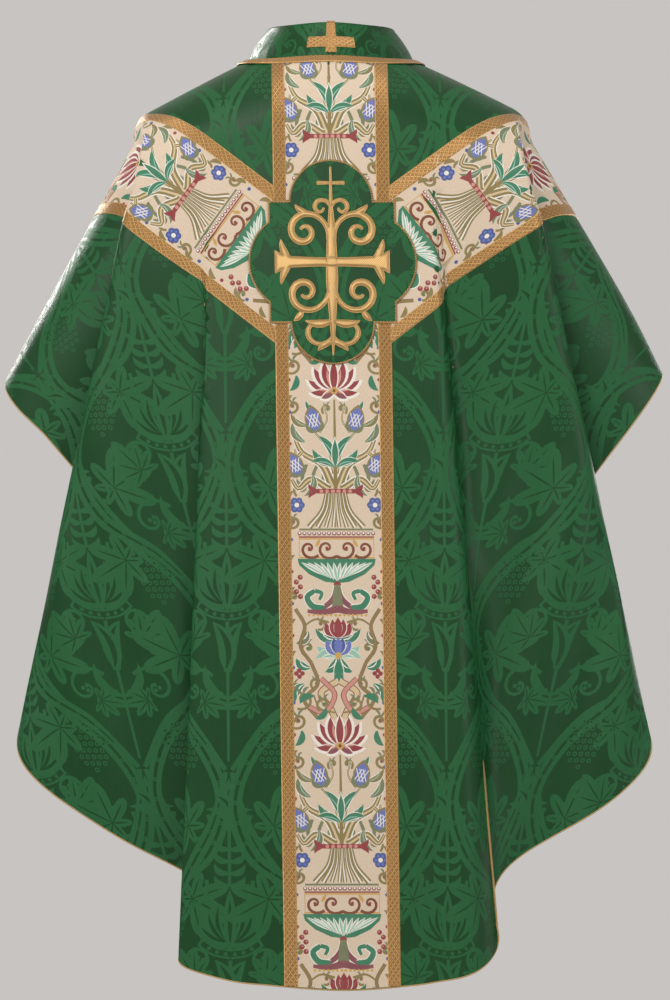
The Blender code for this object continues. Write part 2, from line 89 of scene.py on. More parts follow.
COLUMN_HALF = 0.0775
BRAID = 0.018
COLUMN_SPLIT = 0.352
ARM_TOP = ((0.0785, 0.242), (0.246, 0.118), (0.292, 0.060))
ARM_BASE = ((0.0785, 0.452), (0.360, 0.236), (0.385, 0.190), (0.412, 0.110))
NECK_BRAID = 0.012
MEDALLION_AT = 0.345
LOBE_RADIUS = 0.055
LOBE_OUT = 0.080
SIDE_RADIUS = 0.065
SIDE_HALF = 0.053
SQUARE_HALF = (0.0835, 0.080)
COLLAR_HEIGHT = {"back": 0.047, "front": 0.036}
COLLAR_TAPER = (0.78, 0.80)
COLLAR_INSET = 0.0038
COLLAR_SINK = 0.0010
COLLAR_ROLL = 0.0016  # half thickness of the rolled top edge
COLLAR_FIGURE = 0.62  # size of the damask on the collar, against the panels'
CROSS_BAR = 0.0150
CROSS_ARM = (0.033, 0.25, 0.58)

# Distances of the layers from the middle of the silk.
SILK_AT = 0.0008
LINING_AT = -0.0007
TAPESTRY_AT = 0.0014
BRAID_AT = 0.0019
OVER_AT = 0.0032


# ---------------------------------------------------------------- drape


def shoulder(a):
    start = sqrt(NECK_HALF**2 + SHOULDER_BLEND**2)
    return SHOULDER_SLOPE * (np.sqrt(a * a + SHOULDER_BLEND**2) - start)


def smooth(t):
    t = np.clip(t, 0, 1)
    return t * t * (3 - 2 * t)


def over_shoulder(d):
    quarter = BODY_DEPTH * pi / 2
    angle = np.clip(d / quarter, 0, 1) * pi / 2
    down = BODY_DEPTH * (1 - np.cos(angle)) + np.maximum(d - quarter, 0)
    return down, BODY_DEPTH * np.sin(angle)


def pleat(t, taken, turned):
    c = np.clip(t, 0, 1)
    place = (1 - taken) * c + turned * np.sin(2 * pi * c) / (2 * pi) + t - c
    return place, c - np.sin(4 * pi * c) / (4 * pi)


def pleat_width(b, fold):
    x = b - fold["below"]
    return fold["rate"] * (x + np.sqrt(x * x + 0.0025)) / 2


def drape(a, b, side, face):
    """The hung place of flat points on one side. `face` is -1 for the back panel, +1 the front."""
    fold = FOLDS[side]
    down, out = over_shoulder(b - shoulder(a))
    b = shoulder(a) + down
    ripple = fold["ripple"] * np.cos(2 * pi * (a - fold["crest"]) / fold["wave"])
    ripple = ripple * smooth((a - 0.09) / 0.05) * smooth((b - 0.35) / 0.35)
    width = pleat_width(b, fold)
    line = fold["line"] + fold["lean"] * b
    turned = fold["share"] * smooth((width - 0.015) / 0.06)
    place, step = pleat((a - line) / width, fold["share"] * smooth(width / 0.03), turned)
    sunk = np.sqrt(1.57 * fold["pleat_roll"] * width) * width / (width + 0.03) * step
    a = line + place * width
    peg = (fold["peg"], shoulder(fold["peg"]))
    reach = np.hypot(a - peg[0], b - peg[1])
    angle = np.arctan2(a - peg[0], b - peg[1])
    angle = np.where(angle < -0.9 * pi, angle + 2 * pi, angle)
    start, turn = radians(fold["start"]), radians(fold["turn"])
    taken = smooth(reach / 0.06)
    turned = smooth((reach - 0.04) / 0.15)
    place, step = pleat((angle - start) / turn, taken, turned)
    sunk = sunk + np.sqrt(1.57 * fold["roll"] * turn * reach) * smooth(reach / 0.05) * step
    angle = start + place * turn
    a = peg[0] + reach * np.sin(angle)
    b = peg[1] + reach * np.cos(angle)
    depth = out * (1 - np.minimum(sunk / BODY_DEPTH, 0.85)) + ripple + SEAM_GAP
    shift = (CENTRE_SHIFT + CENTRE_LEAN * b) * (1 - smooth(a / CENTRE_REACH))
    return np.stack([side * a + shift, face * depth, -b], axis=-1)


def hang(flat, face, above=0.0):
    """Hung places and outward directions of flat points, `above` the middle of the silk."""
    flat = np.asarray(flat, float)

    def place(a, b):
        left, right = (drape(np.abs(a), b, side, face) for side in (-1, 1))
        centre = smooth((a + 0.004) / 0.008)[:, None]
        return left * (1 - centre) + right * centre

    a, b = flat[:, 0], flat[:, 1]
    step = 0.0004
    low = np.maximum(b - step, shoulder(np.abs(a)))
    across = place(a + step, b) - place(a - step, b)
    down = place(a, low + 2 * step) - place(a, low)
    out = np.cross(down, across) * -face
    length = np.linalg.norm(out, axis=1)[:, None]
    out = np.where(length > 1e-12, out / np.maximum(length, 1e-12), (0.0, float(face), 0.0))
    return place(a, b) + out * above, out


# ---------------------------------------------------------------- flat outlines and strokes


def hem_line(count):
    keys = np.array(HEM)
    along = np.append(0, np.cumsum(np.hypot(*np.diff(keys, axis=0).T)))
    slopes = np.gradient(keys, along, axis=0)
    slopes[0] = (1, 0)
    at = np.linspace(0, along[-1], count)
    i = np.clip(np.searchsorted(along, at) - 1, 0, len(keys) - 2)
    span = (along[i + 1] - along[i])[:, None]
    u = (at - along[i])[:, None] / span
    line = (
        (2 * u**3 - 3 * u**2 + 1) * keys[i]
        + (u**3 - 2 * u**2 + u) * span * slopes[i]
        + (3 * u**2 - 2 * u**3) * keys[i + 1]
        + (u**3 - u**2) * span * slopes[i + 1]
    )
    line[-1, 1] = shoulder(line[-1, 0])
    return line


def neck_line(panel, extra, count):
    t = np.linspace(0, pi / 2, count)
    a = (NECK_HALF + extra) * np.sin(t)
    d = (NECK_DROP[panel] + extra) * np.cos(t)
    return np.stack([a, shoulder(a) + d], axis=1)


def mirrored(outline):
    return np.asarray(outline, float)[::-1] * (-1, 1)


def both_sides(half):
    """A half outline that starts on the centre line, joined to its mirror image."""
    half = np.asarray(half, float)
    back = half[:0:-1] * (-1, 1)
    return np.concatenate([half, back[1:] if abs(half[-1][0]) < 1e-6 else back])


def panel_outline(panel):
    neck = neck_line(panel, 0, 40)[::-1]
    hem = hem_line(300)
    a = np.linspace(NECK_HALF, WRIST[0], 90)[1:-1]
    seam = np.stack([a, shoulder(a)], axis=1)
    right = np.concatenate([hem[1:], seam[::-1], neck[:-1]])
    return np.concatenate([hem[:1], right, neck[-1:], right[::-1] * (-1, 1)])


def edged(line, width, outward):
    """The line `width` to one side of a polyline, with mitred corners."""
    line = np.asarray(line, float)
    along = np.diff(line, axis=0)
    along /= np.hypot(*along.T)[:, None]
    across = np.stack([-along[:, 1], along[:, 0]], axis=1) * outward
    corner = np.concatenate([across[:1], across[:-1] + across[1:], across[-1:]])
    corner /= (corner * np.concatenate([across[:1], across])).sum(axis=1)[:, None]
    return line + corner * width


def resampled(line, step, closed=False):
    """A polyline with points no more than `step` apart, keeping its corners."""
    line = np.asarray(line, float)
    ends = np.roll(line, -1, axis=0) if closed else line[1:]
    found = []
    for start, end in zip(line, ends):
        pieces = max(1, int(np.ceil(np.hypot(*(end - start)) / step)))
        found += [start + (end - start) * i / pieces for i in range(pieces)]
    if not closed:
        found.append(line[-1])
    return np.array(found)


def curve(keys, count):
    """A smooth line through a few points."""
    keys = np.asarray(keys, float)
    along = np.append(0, np.cumsum(np.hypot(*np.diff(keys, axis=0).T)))
    slopes = np.gradient(keys, along, axis=0)
    at = np.linspace(0, along[-1], count)
    i = np.clip(np.searchsorted(along, at) - 1, 0, len(keys) - 2)
    span = (along[i + 1] - along[i])[:, None]
    u = (at - along[i])[:, None] / span
    return (
        (2 * u**3 - 3 * u**2 + 1) * keys[i]
        + (u**3 - 2 * u**2 + u) * span * slopes[i]
        + (3 * u**2 - 2 * u**3) * keys[i + 1]
        + (u**3 - u**2) * span * slopes[i + 1]
    )


def ribbon(points, widths):
    """A stroke as a closed outline, with half widths spread along it."""
    points = np.asarray(points, float)
    widths = np.interp(
        np.linspace(0, 1, len(points)), np.linspace(0, 1, len(widths)), widths
    )
    along = np.gradient(points, axis=0)
    along /= np.hypot(*along.T)[:, None]
    across = np.stack([-along[:, 1], along[:, 0]], axis=1) * widths[:, None]
    return np.concatenate([points + across, (points - across)[::-1]])


def stroke(keys, widths, count=14):
    return ribbon(curve(keys, count), widths)


def spiral(start, centre, turns, end_radius, count):
    """Points winding in round a centre."""
    offset = np.subtract(start, centre)
    radius, first = np.hypot(*offset), np.arctan2(offset[1], offset[0])
    t = np.linspace(0, 1, count)
    angle = first + 2 * pi * turns * t
    r = radius * (end_radius / radius) ** t
    return np.stack([centre[0] + r * np.cos(angle), centre[1] + r * np.sin(angle)], axis=1)


def petal(root, tip, width, bend=0.0, count=9):
    """A pointed leaf or petal from root to tip, bowed sideways by `bend`."""
    root, tip = np.asarray(root, float), np.asarray(tip, float)
    t = np.linspace(0, 1, count)[:, None]
    side = np.array([root[1] - tip[1], tip[0] - root[0]])
    line = root + (tip - root) * t + side * bend * 4 * t * (1 - t)
    return ribbon(line, width * np.sin(pi * np.linspace(0.06, 1, count)) ** 0.85 + 0.0001)


def disc(centre, radius, count=10):
    t = 2 * pi * np.arange(count) / count
    return np.stack([centre[0] + radius * np.cos(t), centre[1] + radius * np.sin(t)], axis=1)


def lobed(centre, size, heading, lobes, sharp=9, count=64):
    """A leaf whose lobes are (angle from its heading, length) pairs."""
    t = np.linspace(-pi, pi, count, endpoint=False)
    r = np.full(count, 0.16)
    for angle, length in lobes:
        for lean in {angle, -angle}:
            near = np.maximum(np.cos(t - radians(lean)), 0) ** sharp
            r = np.maximum(r, length * near)
    direction = radians(heading) + t
    return np.stack(
        [centre[0] + size * r * np.sin(direction), centre[1] - size * r * np.cos(direction)], axis=1
    )


def medallion_outline(fine=1):
    """A quatrefoil whose side lobes are flatter, with the corners of a square between."""
    chord = sqrt(SIDE_RADIUS**2 - SIDE_HALF**2)
    square_a, square_b = SQUARE_HALF
    lobe = [
        (LOBE_RADIUS * sin(t), -LOBE_OUT - LOBE_RADIUS * cos(t))
        for t in np.linspace(0, pi / 2, 1 + 8 * fine)
    ]
    sweep = np.arcsin(SIDE_HALF / SIDE_RADIUS)
    bulge = [
        (square_a - chord + SIDE_RADIUS * cos(t), SIDE_RADIUS * sin(t))
        for t in np.linspace(-sweep, 0, 1 + 5 * fine)
    ]
    quarter = lobe + [(square_a, -square_b)] + bulge
    return both_sides(quarter + [(a, -b) for a, b in quarter[-2::-1]])


def inside(points, outline):
    """Which points are inside a closed outline, by winding."""
    outline = np.asarray(outline, float)
    low, high = outline.min(axis=0), outline.max(axis=0)
    near = ((points >= low) & (points <= high)).all(axis=1)
    x, y = points[near, 0, None], points[near, 1, None]
    start, end = outline, np.roll(outline, -1, axis=0)
    up = (start[:, 1] <= y) & (end[:, 1] > y)
    down = (start[:, 1] > y) & (end[:, 1] <= y)
    turn = (end[:, 0] - start[:, 0]) * (y - start[:, 1]) - (x - start[:, 0]) * (
        end[:, 1] - start[:, 1]
    )
    found = np.zeros(len(points), bool)
    found[near] = ((up & (turn > 0)).sum(axis=1) - (down & (turn < 0)).sum(axis=1)) != 0
    return found


# ---------------------------------------------------------------- meshes


def signed_area(outline):
    """Positive for an outline that runs from the +a axis towards +b."""
    x, y = outline[:, 0], outline[:, 1]
    return (x * np.roll(y, -1) - y * np.roll(x, -1)).sum() / 2


def mosaic(outline, shapes, extra):
    """Flat points, the triangles inside an outline, and the last shape that holds each one.

    The triangles follow every outline; -1 stands for a triangle that no shape holds.
    """
    points, loops = [], []
    for shape in [outline, *shapes]:
        shape = np.asarray(shape, float)
        if signed_area(shape) < 0:
            shape = shape[::-1]
        loops.append(list(range(len(points), len(points) + len(shape))))
        points.extend(map(tuple, shape))
    points.extend(map(tuple, extra))
    made = delaunay_2d_cdt(points, [], loops, 0, 1e-6, True)
    flat = np.array([tuple(p) for p in made[0]])
    faces = np.array([tuple(face) for face in made[2]])
    kept = np.array([0 in held for held in made[5]])
    last = np.array([max(held, default=0) for held in made[5]]) - 1
    one, two, three = flat[faces[:, 0]], flat[faces[:, 1]], flat[faces[:, 2]]
    area = np.cross(two - one, three - one)
    faces[area < 0] = faces[area < 0][:, ::-1]
    kept &= np.abs(area) > 1e-10
    return flat, faces[kept], last[kept]


def make_mesh(name, points, faces, normals=None, uv=None, colour=None, tone=None):
    """A mesh object from arrays. `colour` and `tone` hold a value for each face."""
    used, index = np.unique(faces, return_inverse=True)
    faces = index.reshape(faces.shape)
    corners = faces.shape[1]
    mesh = bpy.data.meshes.new(name)
    mesh.vertices.add(len(used))
    mesh.vertices.foreach_set("co", points[used].astype(np.float32).ravel())
    mesh.loops.add(faces.size)
    mesh.loops.foreach_set("vertex_index", faces.astype(np.int32).ravel())
    mesh.polygons.add(len(faces))
    mesh.polygons.foreach_set("loop_start", np.arange(0, faces.size, corners, dtype=np.int32))
    mesh.update(calc_edges=True)
    mesh.polygons.foreach_set("use_smooth", np.ones(len(faces), bool))
    if uv is not None:
        layer = mesh.uv_layers.new(name="flat")
        layer.uv.foreach_set("vector", uv[used][faces.ravel()].astype(np.float32).ravel())
    if colour is not None:
        layer = mesh.color_attributes.new("thread", "FLOAT_COLOR", "CORNER")
        rgba = np.concatenate([colour, np.ones((len(colour), 1))], axis=1)
        layer.data.foreach_set("color", np.repeat(rgba, corners, axis=0).ravel())
    if tone is not None:
        layer = mesh.attributes.new("figure", "FLOAT", "CORNER")
        layer.data.foreach_set("value", np.repeat(tone, corners).astype(np.float32))
    mesh.validate()
    if normals is not None:
        mesh.normals_split_custom_set_from_vertices(normals[used].tolist())
    obj = bpy.data.objects.new(name, mesh)
    bpy.context.scene.collection.objects.link(obj)
    return obj


def finish_piece(obj, material, slot, *nodes):
    """Gives a piece its material and body, and hides the CAD nodes it stands for."""
    obj.data.materials.append(material)
    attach(obj, "root")
    if nodes:
        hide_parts(*nodes)
    return obj


def outward_faces(faces, face):
    return faces[:, ::-1] if face < 0 else faces


def against(points, faces, out):
    """Whether most of the faces look away from the directions in `out`."""
    corner = points[faces]
    turn = np.cross(corner[:, 1] - corner[:, 0], corner[:, 2] - corner[:, 0])
    return (turn * out[faces[:, 0]]).sum() < 0


def drape_points():
    """Flat points close enough together for the folds, on both sides."""
    found = []
    for side in (-1, 1):
        fold = FOLDS[side]
        a, b = np.meshgrid(np.arange(0.006, 0.66, 0.012), np.arange(-0.03, 1.32, 0.018))
        found.append(np.stack([side * a.ravel(), b.ravel()], axis=1))
        c, b = np.meshgrid(np.linspace(0, 1, 41), np.arange(0.34, 1.30, 0.022))
        drop = b - 0.0628
        line = fold["line"] + fold["lean"] * drop + c * pleat_width(drop, fold)
        found.append(np.stack([side * line.ravel(), b.ravel()], axis=1))
        reaches = np.concatenate([np.arange(0.008, 0.12, 0.007), np.arange(0.12, 1.02, 0.021)])
        c, reach = np.meshgrid(np.linspace(-0.02, 1.02, 41), reaches)
        angle = radians(fold["start"]) + c * radians(fold["turn"])
        drop = shoulder(fold["peg"]) + reach * np.cos(angle)
        a = fold["peg"] + reach * np.sin(angle)
        a = a + fold["share"] * pleat_width(drop, fold) * smooth((drop - 0.1) / 0.1)
        b = drop + np.interp(drop - shoulder(a), (0, 0.11), (0, 0.0628))
        found.append(np.stack([side * a.ravel(), b.ravel()], axis=1))
    points = np.concatenate(found)
    return points[points[:, 1] > shoulder(np.abs(points[:, 0])) + 0.002]


# ---------------------------------------------------------------- materials


def new_material(name, roughness, metallic=0.0, sheen=0.0, specular=0.5):
    material = bpy.data.materials.new(name)
    material.use_nodes = True
    tree = material.node_tree
    shader = tree.nodes["Principled BSDF"]
    shader.inputs["Roughness"].default_value = roughness
    shader.inputs["Metallic"].default_value = metallic
    shader.inputs["Sheen Weight"].default_value = sheen
    shader.inputs["Specular IOR Level"].default_value = specular
    return material, tree, shader


def node(tree, kind, **settings):
    made = tree.nodes.new(kind)
    for key, value in settings.items():
        if key in made.inputs:
            made.inputs[key].default_value = value
        else:
            setattr(made, key, value)
    return made


def mix(tree, factor, one, two, blend="MIX"):
    """A colour mix; each input is a link or a colour."""
    made = node(tree, "ShaderNodeMix", data_type="RGBA", blend_type=blend)
    for socket, value in ((0, factor), (6, one), (7, two)):
        if isinstance(value, bpy.types.NodeSocket):
            tree.links.new(value, made.inputs[socket])
        else:
            made.inputs[socket].default_value = value if socket == 0 else (*value, 1)
    return made.outputs[2]


def math(tree, operation, one, two=0.0):
    made = node(tree, "ShaderNodeMath", operation=operation)
    for socket, value in zip(made.inputs, (one, two)):
        if isinstance(value, bpy.types.NodeSocket):
            tree.links.new(value, socket)
        else:
            socket.default_value = value
    return made.outputs[0]


def flat_place(tree, scale):
    """Coordinates in the flat cloth, scaled."""
    uv = node(tree, "ShaderNodeUVMap", uv_map="flat")
    mapping = node(tree, "ShaderNodeMapping")
    mapping.inputs["Scale"].default_value = scale
    tree.links.new(uv.outputs["UV"], mapping.inputs["Vector"])
    return mapping.outputs["Vector"]


def noise(tree, vector, scale, detail=3.0):
    made = node(tree, "ShaderNodeTexNoise", Scale=scale, Detail=detail)
    if vector is not None:
        tree.links.new(vector, made.inputs["Vector"])
    return made.outputs["Fac"]


def wave(tree, vector, scale, direction="X", distortion=0.0):
    made = node(
        tree, "ShaderNodeTexWave", bands_direction=direction, Scale=scale, Distortion=distortion
    )
    tree.links.new(vector, made.inputs["Vector"])
    return made.outputs["Fac"]


def set_bump(tree, shader, height, strength, distance):
    bump = node(tree, "ShaderNodeBump", Strength=strength, Distance=distance)
    tree.links.new(height, bump.inputs["Height"])
    tree.links.new(bump.outputs["Normal"], shader.inputs["Normal"])


def ramp(tree, value, low, high):
    """A value spread from `low` to `high` over 0 to 1."""
    made = node(tree, "ShaderNodeMapRange")
    tree.links.new(value, made.inputs["Value"])
    made.inputs["To Min"].default_value = low
    made.inputs["To Max"].default_value = high
    return made.outputs["Result"]


DAMASK_DARK = (0.0040, 0.0400, 0.0105)
DAMASK_LIGHT = (0.0105, 0.0960, 0.0300)


def damask_material(name="silk_damask"):
    """Two-tone silk: a glossy satin ground and a figure of ribbed weave that catches more light."""
    material, tree, shader = new_material(name, 0.4, sheen=0.0, specular=0.24)
    figure = node(tree, "ShaderNodeAttribute", attribute_name="figure").outputs["Fac"]
    threads = flat_place(tree, (1, 1, 1))
    slubs = noise(tree, flat_place(tree, (260, 30, 1)), 1.0, 2.0)
    cloud = noise(tree, threads, 9.0, 2.0)
    tone = mix(tree, figure, DAMASK_DARK, DAMASK_LIGHT)
    tone = mix(tree, ramp(tree, cloud, 0.0, 0.35), tone, (0.010, 0.090, 0.018), "MIX")
    tone = mix(tree, ramp(tree, slubs, 0.0, 0.45), tone, (0.55, 0.62, 0.55), "MULTIPLY")
    tree.links.new(tone, shader.inputs["Base Color"])
    tree.links.new(ramp(tree, figure, 0.36, 0.52), shader.inputs["Roughness"])
    ribs = wave(tree, threads, 260.0, "Y")
    twill = wave(tree, threads, 420.0, "DIAGONAL")
    weave = math(tree, "MULTIPLY", ribs, figure)
    weave = math(tree, "ADD", weave, math(tree, "MULTIPLY", twill, 0.35))
    weave = math(tree, "ADD", weave, math(tree, "MULTIPLY", slubs, 0.9))
    set_bump(tree, shader, weave, 0.35, 0.0004)
    return material


def tapestry_material():
    """Wool and silk threads on a cream ground, coloured face by face, with a ribbed weave."""
    material, tree, shader = new_material("tapestry_weave", 0.72, sheen=0.03, specular=0.3)
    colour = node(tree, "ShaderNodeAttribute", attribute_name="thread").outputs["Color"]
    threads = flat_place(tree, (1, 1, 1))
    fleck = noise(tree, flat_place(tree, (900, 420, 1)), 1.0, 2.0)
    cloud = noise(tree, threads, 40.0, 3.0)
    tone = mix(tree, ramp(tree, fleck, 0.0, 0.75), colour, (0.58, 0.54, 0.48), "MULTIPLY")
    tone = mix(tree, ramp(tree, cloud, 0.0, 0.12), tone, (0.62, 0.52, 0.38), "MIX")
    tree.links.new(tone, shader.inputs["Base Color"])
    ribs = wave(tree, threads, 330.0, "Y")
    weft = wave(tree, threads, 480.0, "X")
    weave = math(tree, "ADD", math(tree, "MULTIPLY", ribs, 0.7), math(tree, "MULTIPLY", weft, 0.5))
    weave = math(tree, "ADD", weave, fleck)
    set_bump(tree, shader, weave, 0.45, 0.0005)
    return material


def lining_material(name="lining_satin", low=(0.300, 0.180, 0.050), high=(0.440, 0.285, 0.100)):
    """Plain satin, old gold unless other colours are given."""
    material, tree, shader = new_material(name, 0.40, sheen=0.1, specular=0.45)
    threads = flat_place(tree, (1, 1, 1))
    slubs = noise(tree, flat_place(tree, (220, 26, 1)), 1.0, 3.0)
    tone = mix(tree, ramp(tree, slubs, 0.0, 1.0), low, high)
    tree.links.new(tone, shader.inputs["Base Color"])
    twill = wave(tree, threads, 380.0, "DIAGONAL")
    set_bump(tree, shader, math(tree, "ADD", twill, slubs), 0.25, 0.0004)
    return material


def braid_material():
    """Galloon of metal thread: a trellis of lozenges between two corded edges, lit up with painted
    glints.
    """
    material, tree, shader = new_material("gold_galloon", 0.38, 0.55, 0.1)
    glint = node(tree, "ShaderNodeAttribute", attribute_name="figure").outputs["Fac"]
    threads = flat_place(tree, (1, 1, 1))
    fleck = noise(tree, threads, 900.0, 2.0)
    patch = noise(tree, threads, 60.0, 2.0)
    # Painted glints on the woven trellis: the `figure` value brightens the trellis, the corded
    # edges and a scatter of spots to bright gold.
    tone = mix(tree, glint, (0.200, 0.085, 0.018), (0.780, 0.500, 0.190))
    tone = mix(tree, ramp(tree, fleck, 0.0, 0.8), tone, (0.45, 0.34, 0.22), "MULTIPLY")
    tone = mix(tree, ramp(tree, patch, 0.0, 0.5), tone, (0.330, 0.165, 0.045), "MIX")
    tree.links.new(tone, shader.inputs["Base Color"])
    tree.links.new(ramp(tree, fleck, 0.22, 0.55), shader.inputs["Roughness"])
    plait = wave(tree, threads, 300.0, "DIAGONAL")
    set_bump(tree, shader, math(tree, "ADD", plait, fleck), 0.6, 0.0006)
    return material


def gold_thread_material(name="gold_thread", bright=1.0):
    """Couched gold thread laid side by side, drawn as diagonal bands of darker and lighter gold."""
    material, tree, shader = new_material(name, 0.34, 0.75)
    threads = flat_place(tree, (1, 1, 1))
    fleck = noise(tree, threads, 700.0, 2.0)
    lines = wave(tree, threads, 210.0, "DIAGONAL", 1.5)
    # `bright` scales the gold; above 1 it makes a lit copy of the same thread, a painted highlight.
    low = tuple(bright * value for value in (0.300, 0.175, 0.055))
    high = tuple(bright * value for value in (0.560, 0.390, 0.185))
    tone = mix(tree, lines, low, high)
    tone = mix(tree, ramp(tree, fleck, 0.0, 0.6), tone, (0.75, 0.62, 0.42), "MULTIPLY")
    tree.links.new(tone, shader.inputs["Base Color"])
    tree.links.new(ramp(tree, fleck, 0.25, 0.5), shader.inputs["Roughness"])
    set_bump(tree, shader, math(tree, "ADD", lines, fleck), 0.5, 0.0005)
    return material


def canvas_material():
    material, tree, shader = new_material("canvas_stiffener", 0.85, specular=0.2)
    threads = flat_place(tree, (1, 1, 1))
    weave = math(tree, "ADD", wave(tree, threads, 250.0, "X"), wave(tree, threads, 250.0, "Y"))
    tone = mix(tree, ramp(tree, weave, 0.0, 0.5), (0.50, 0.46, 0.38), (0.66, 0.61, 0.52))
    tree.links.new(tone, shader.inputs["Base Color"])
    set_bump(tree, shader, weave, 0.4, 0.0004)
    return material


# ---------------------------------------------------------------- damask design

FIG_LEAF = ((0, 1.0), (48, 0.86), (98, 0.62), (150, 0.40))
OAK_LEAF = ((0, 1.0), (36, 0.80), (72, 0.66), (112, 0.50))
DAMASK_WIDE = 0.29
DAMASK_HIGH = 0.45


def veined(centre, size, heading, lobes, sharp=9):
    """A lobed leaf with its veins left in the ground weave."""
    shapes = [(lobed(centre, size, heading, lobes, sharp), 1)]
    for angle, length in lobes:
        for lean in sorted({angle, -angle}):
            direction = radians(heading + lean)
            tip = (
                centre[0] + 0.80 * size * length * sin(direction),
                centre[1] - 0.80 * size * length * cos(direction),
            )
            shapes.append((petal(centre, tip, 0.012 * size + 0.0004, 0.0, 5), 0))
    return shapes


def damask_half():
    """One side of the repeat: an ogee of leaves and ribbons round a crowned fruit."""
    shapes = []
    # The ribbon that draws the ogee, with a thin line of ground along it and eyelets beside it.
    ogee = [(0.004, 0.225), (0.052, 0.165), (0.118, 0.115), (0.140, 0.045), (0.112, -0.030),
            (0.060, -0.085), (0.022, -0.150), (0.004, -0.222)]  # fmt: skip
    line = curve(ogee, 40)
    shapes.append((ribbon(line, (0.003, 0.0085, 0.0105, 0.0085, 0.0105, 0.0085, 0.003)), 1))
    shapes.append((ribbon(line[3:-3], (0.0010, 0.0022, 0.0022, 0.0022, 0.0010)), 0))
    for i in range(5, 36, 2):
        shapes.append((disc(line[i], 0.0030, 8), 1))
        shapes.append((disc(line[i], 0.0014, 6), 0))
    # Leaves.
    shapes += veined((0.058, -0.150), 0.066, 62, FIG_LEAF)
    shapes += veined((0.098, 0.172), 0.060, 118, FIG_LEAF)
    shapes += veined((0.046, 0.052), 0.050, 40, OAK_LEAF, 12)
    shapes += veined((0.116, -0.090), 0.036, 100, OAK_LEAF, 12)
    # Tendrils, with berries at their ends.
    for start, centre, turns in (
        ((0.020, 0.100), (0.048, 0.118), 1.15),
        ((0.030, -0.078), (0.058, -0.062), -1.10),
        ((0.120, 0.060), (0.100, 0.078), 0.95),
        ((0.086, -0.190), (0.108, -0.196), 1.0),
    ):
        shapes.append((ribbon(spiral(start, centre, turns, 0.005, 22), (0.0026, 0.0016)), 1))
        for k in range(3):
            at = (centre[0] + 0.004 * cos(2.1 * k), centre[1] + 0.004 * sin(2.1 * k))
            shapes.append((disc(at, 0.0030, 8), 1))
    # A field of little rings between the ribbon and the fruit.
    for row in range(8):
        for column in range(5):
            at = (0.066 + 0.0085 * column + 0.004 * (row % 2), -0.058 + 0.0088 * row)
            if (at[0] - 0.088) ** 2 / 0.024**2 + (at[1] + 0.028) ** 2 / 0.032**2 < 1:
                shapes.append((disc(at, 0.0032, 8), 1))
                shapes.append((disc(at, 0.0018, 6), 0))
    # Half of the crowned fruit: scalloped petals, a band of jewels and the crown's points.
    for tip, width in (
        ((0.018, -0.052), 0.008),
        ((0.034, -0.040), 0.008),
        ((0.046, -0.020), 0.007),
    ):
        shapes.append((petal((0.004, 0.010), tip, width, 0.12), 1))
        shapes.append((petal((0.006, 0.004), np.multiply(tip, 0.82), width * 0.3, 0.12), 0))
    shapes.append((stroke([(0.0, 0.020), (0.022, 0.016), (0.040, 0.004)], (0.0068, 0.006), 10), 1))
    shapes.append((stroke([(0.0, 0.020), (0.022, 0.016), (0.037, 0.006)], (0.0038, 0.0034), 10), 0))
    for at in ((0.006, 0.0198), (0.017, 0.0176), (0.0275, 0.0128)):
        shapes.append((disc(at, 0.0028, 8), 1))
    shapes += [
        (petal((0.002, 0.095), (0.020, 0.028), 0.012, -0.15), 1),
        (petal((0.002, 0.090), (0.014, 0.034), 0.004, -0.15), 0),
        (petal((0.001, 0.130), (0.030, 0.085), 0.006, 0.2), 1),
    ]
    # The tulip that stands between two ogees.
    shapes += [
        (petal((0.0, -0.150), (0.020, -0.196), 0.008, -0.25), 1),
        (petal((0.0, -0.152), (0.016, -0.190), 0.0026, -0.25), 0),
        (petal((0.0, -0.140), (0.030, -0.172), 0.006, -0.3), 1),
    ]
    for k in range(4):
        shapes.append(
            (petal((0.0, -0.120 + 0.016 * k), (0.020, -0.132 + 0.016 * k), 0.0042, 0.25), 1)
        )
    return shapes


def damask_axis():
    """Shapes that straddle the repeat's own centre line."""
    return [
        (petal((0, -0.148), (0, -0.214), 0.0085), 1),
        (petal((0, -0.156), (0, -0.200), 0.0030), 0),
        (petal((0, 0.016), (0, -0.066), 0.0085), 1),
        (petal((0, 0.004), (0, -0.052), 0.0028), 0),
        (stroke([(0, -0.145), (0, -0.070)], (0.0022, 0.0022), 4), 1),
        (stroke([(0, 0.028), (0, 0.214)], (0.0026, 0.0016), 6), 1),
    ]


def damask_design(low, high):
    """Every figure of the damask that reaches the box from `low` to `high`."""
    unit = damask_half() + damask_axis()
    both = unit + [(mirrored(shape), tone) for shape, tone in damask_half()]
    shapes = []
    for column in range(-5, 6):
        drop = 0.5 * DAMASK_HIGH * (column % 2)
        for row in range(-1, 4):
            at = np.array((column * DAMASK_WIDE / 2, 0.12 + drop + row * DAMASK_HIGH))
            for shape, tone in both:
                moved = np.asarray(shape) * (0.98, 1.0) + at
                if (moved.max(axis=0) > low).all() and (moved.min(axis=0) < high).all():
                    shapes.append((moved, tone))
    return shapes


# ---------------------------------------------------------------- panels


def build_panel(panel, materials):
    """The silk and the lining of one panel."""
    face = -1 if panel == "back" else 1
    outline = panel_outline(panel)
    design = damask_design(outline.min(axis=0), outline.max(axis=0))
    grid = drape_points()
    flat, faces, last = mosaic(outline, [shape for shape, _ in design], grid)
    tones = np.array([tone for _, tone in design] + [0.0])
    points, out = hang(flat, face, SILK_AT)
    silk = make_mesh(
        panel + "_silk", points, outward_faces(faces, face), out, flat, tone=tones[last]
    )
    finish_piece(silk, materials["silk"], "green_silk", panel + "_shell")

    flat, faces, _ = mosaic(outline, [], grid)
    points, out = hang(flat, face, LINING_AT)
    lining = make_mesh(panel + "_satin_lining", points, outward_faces(faces, -face), -out, flat)
    finish_piece(lining, materials["lining"], "gold_lining", panel + "_lining")


# ---------------------------------------------------------------- tapestry design

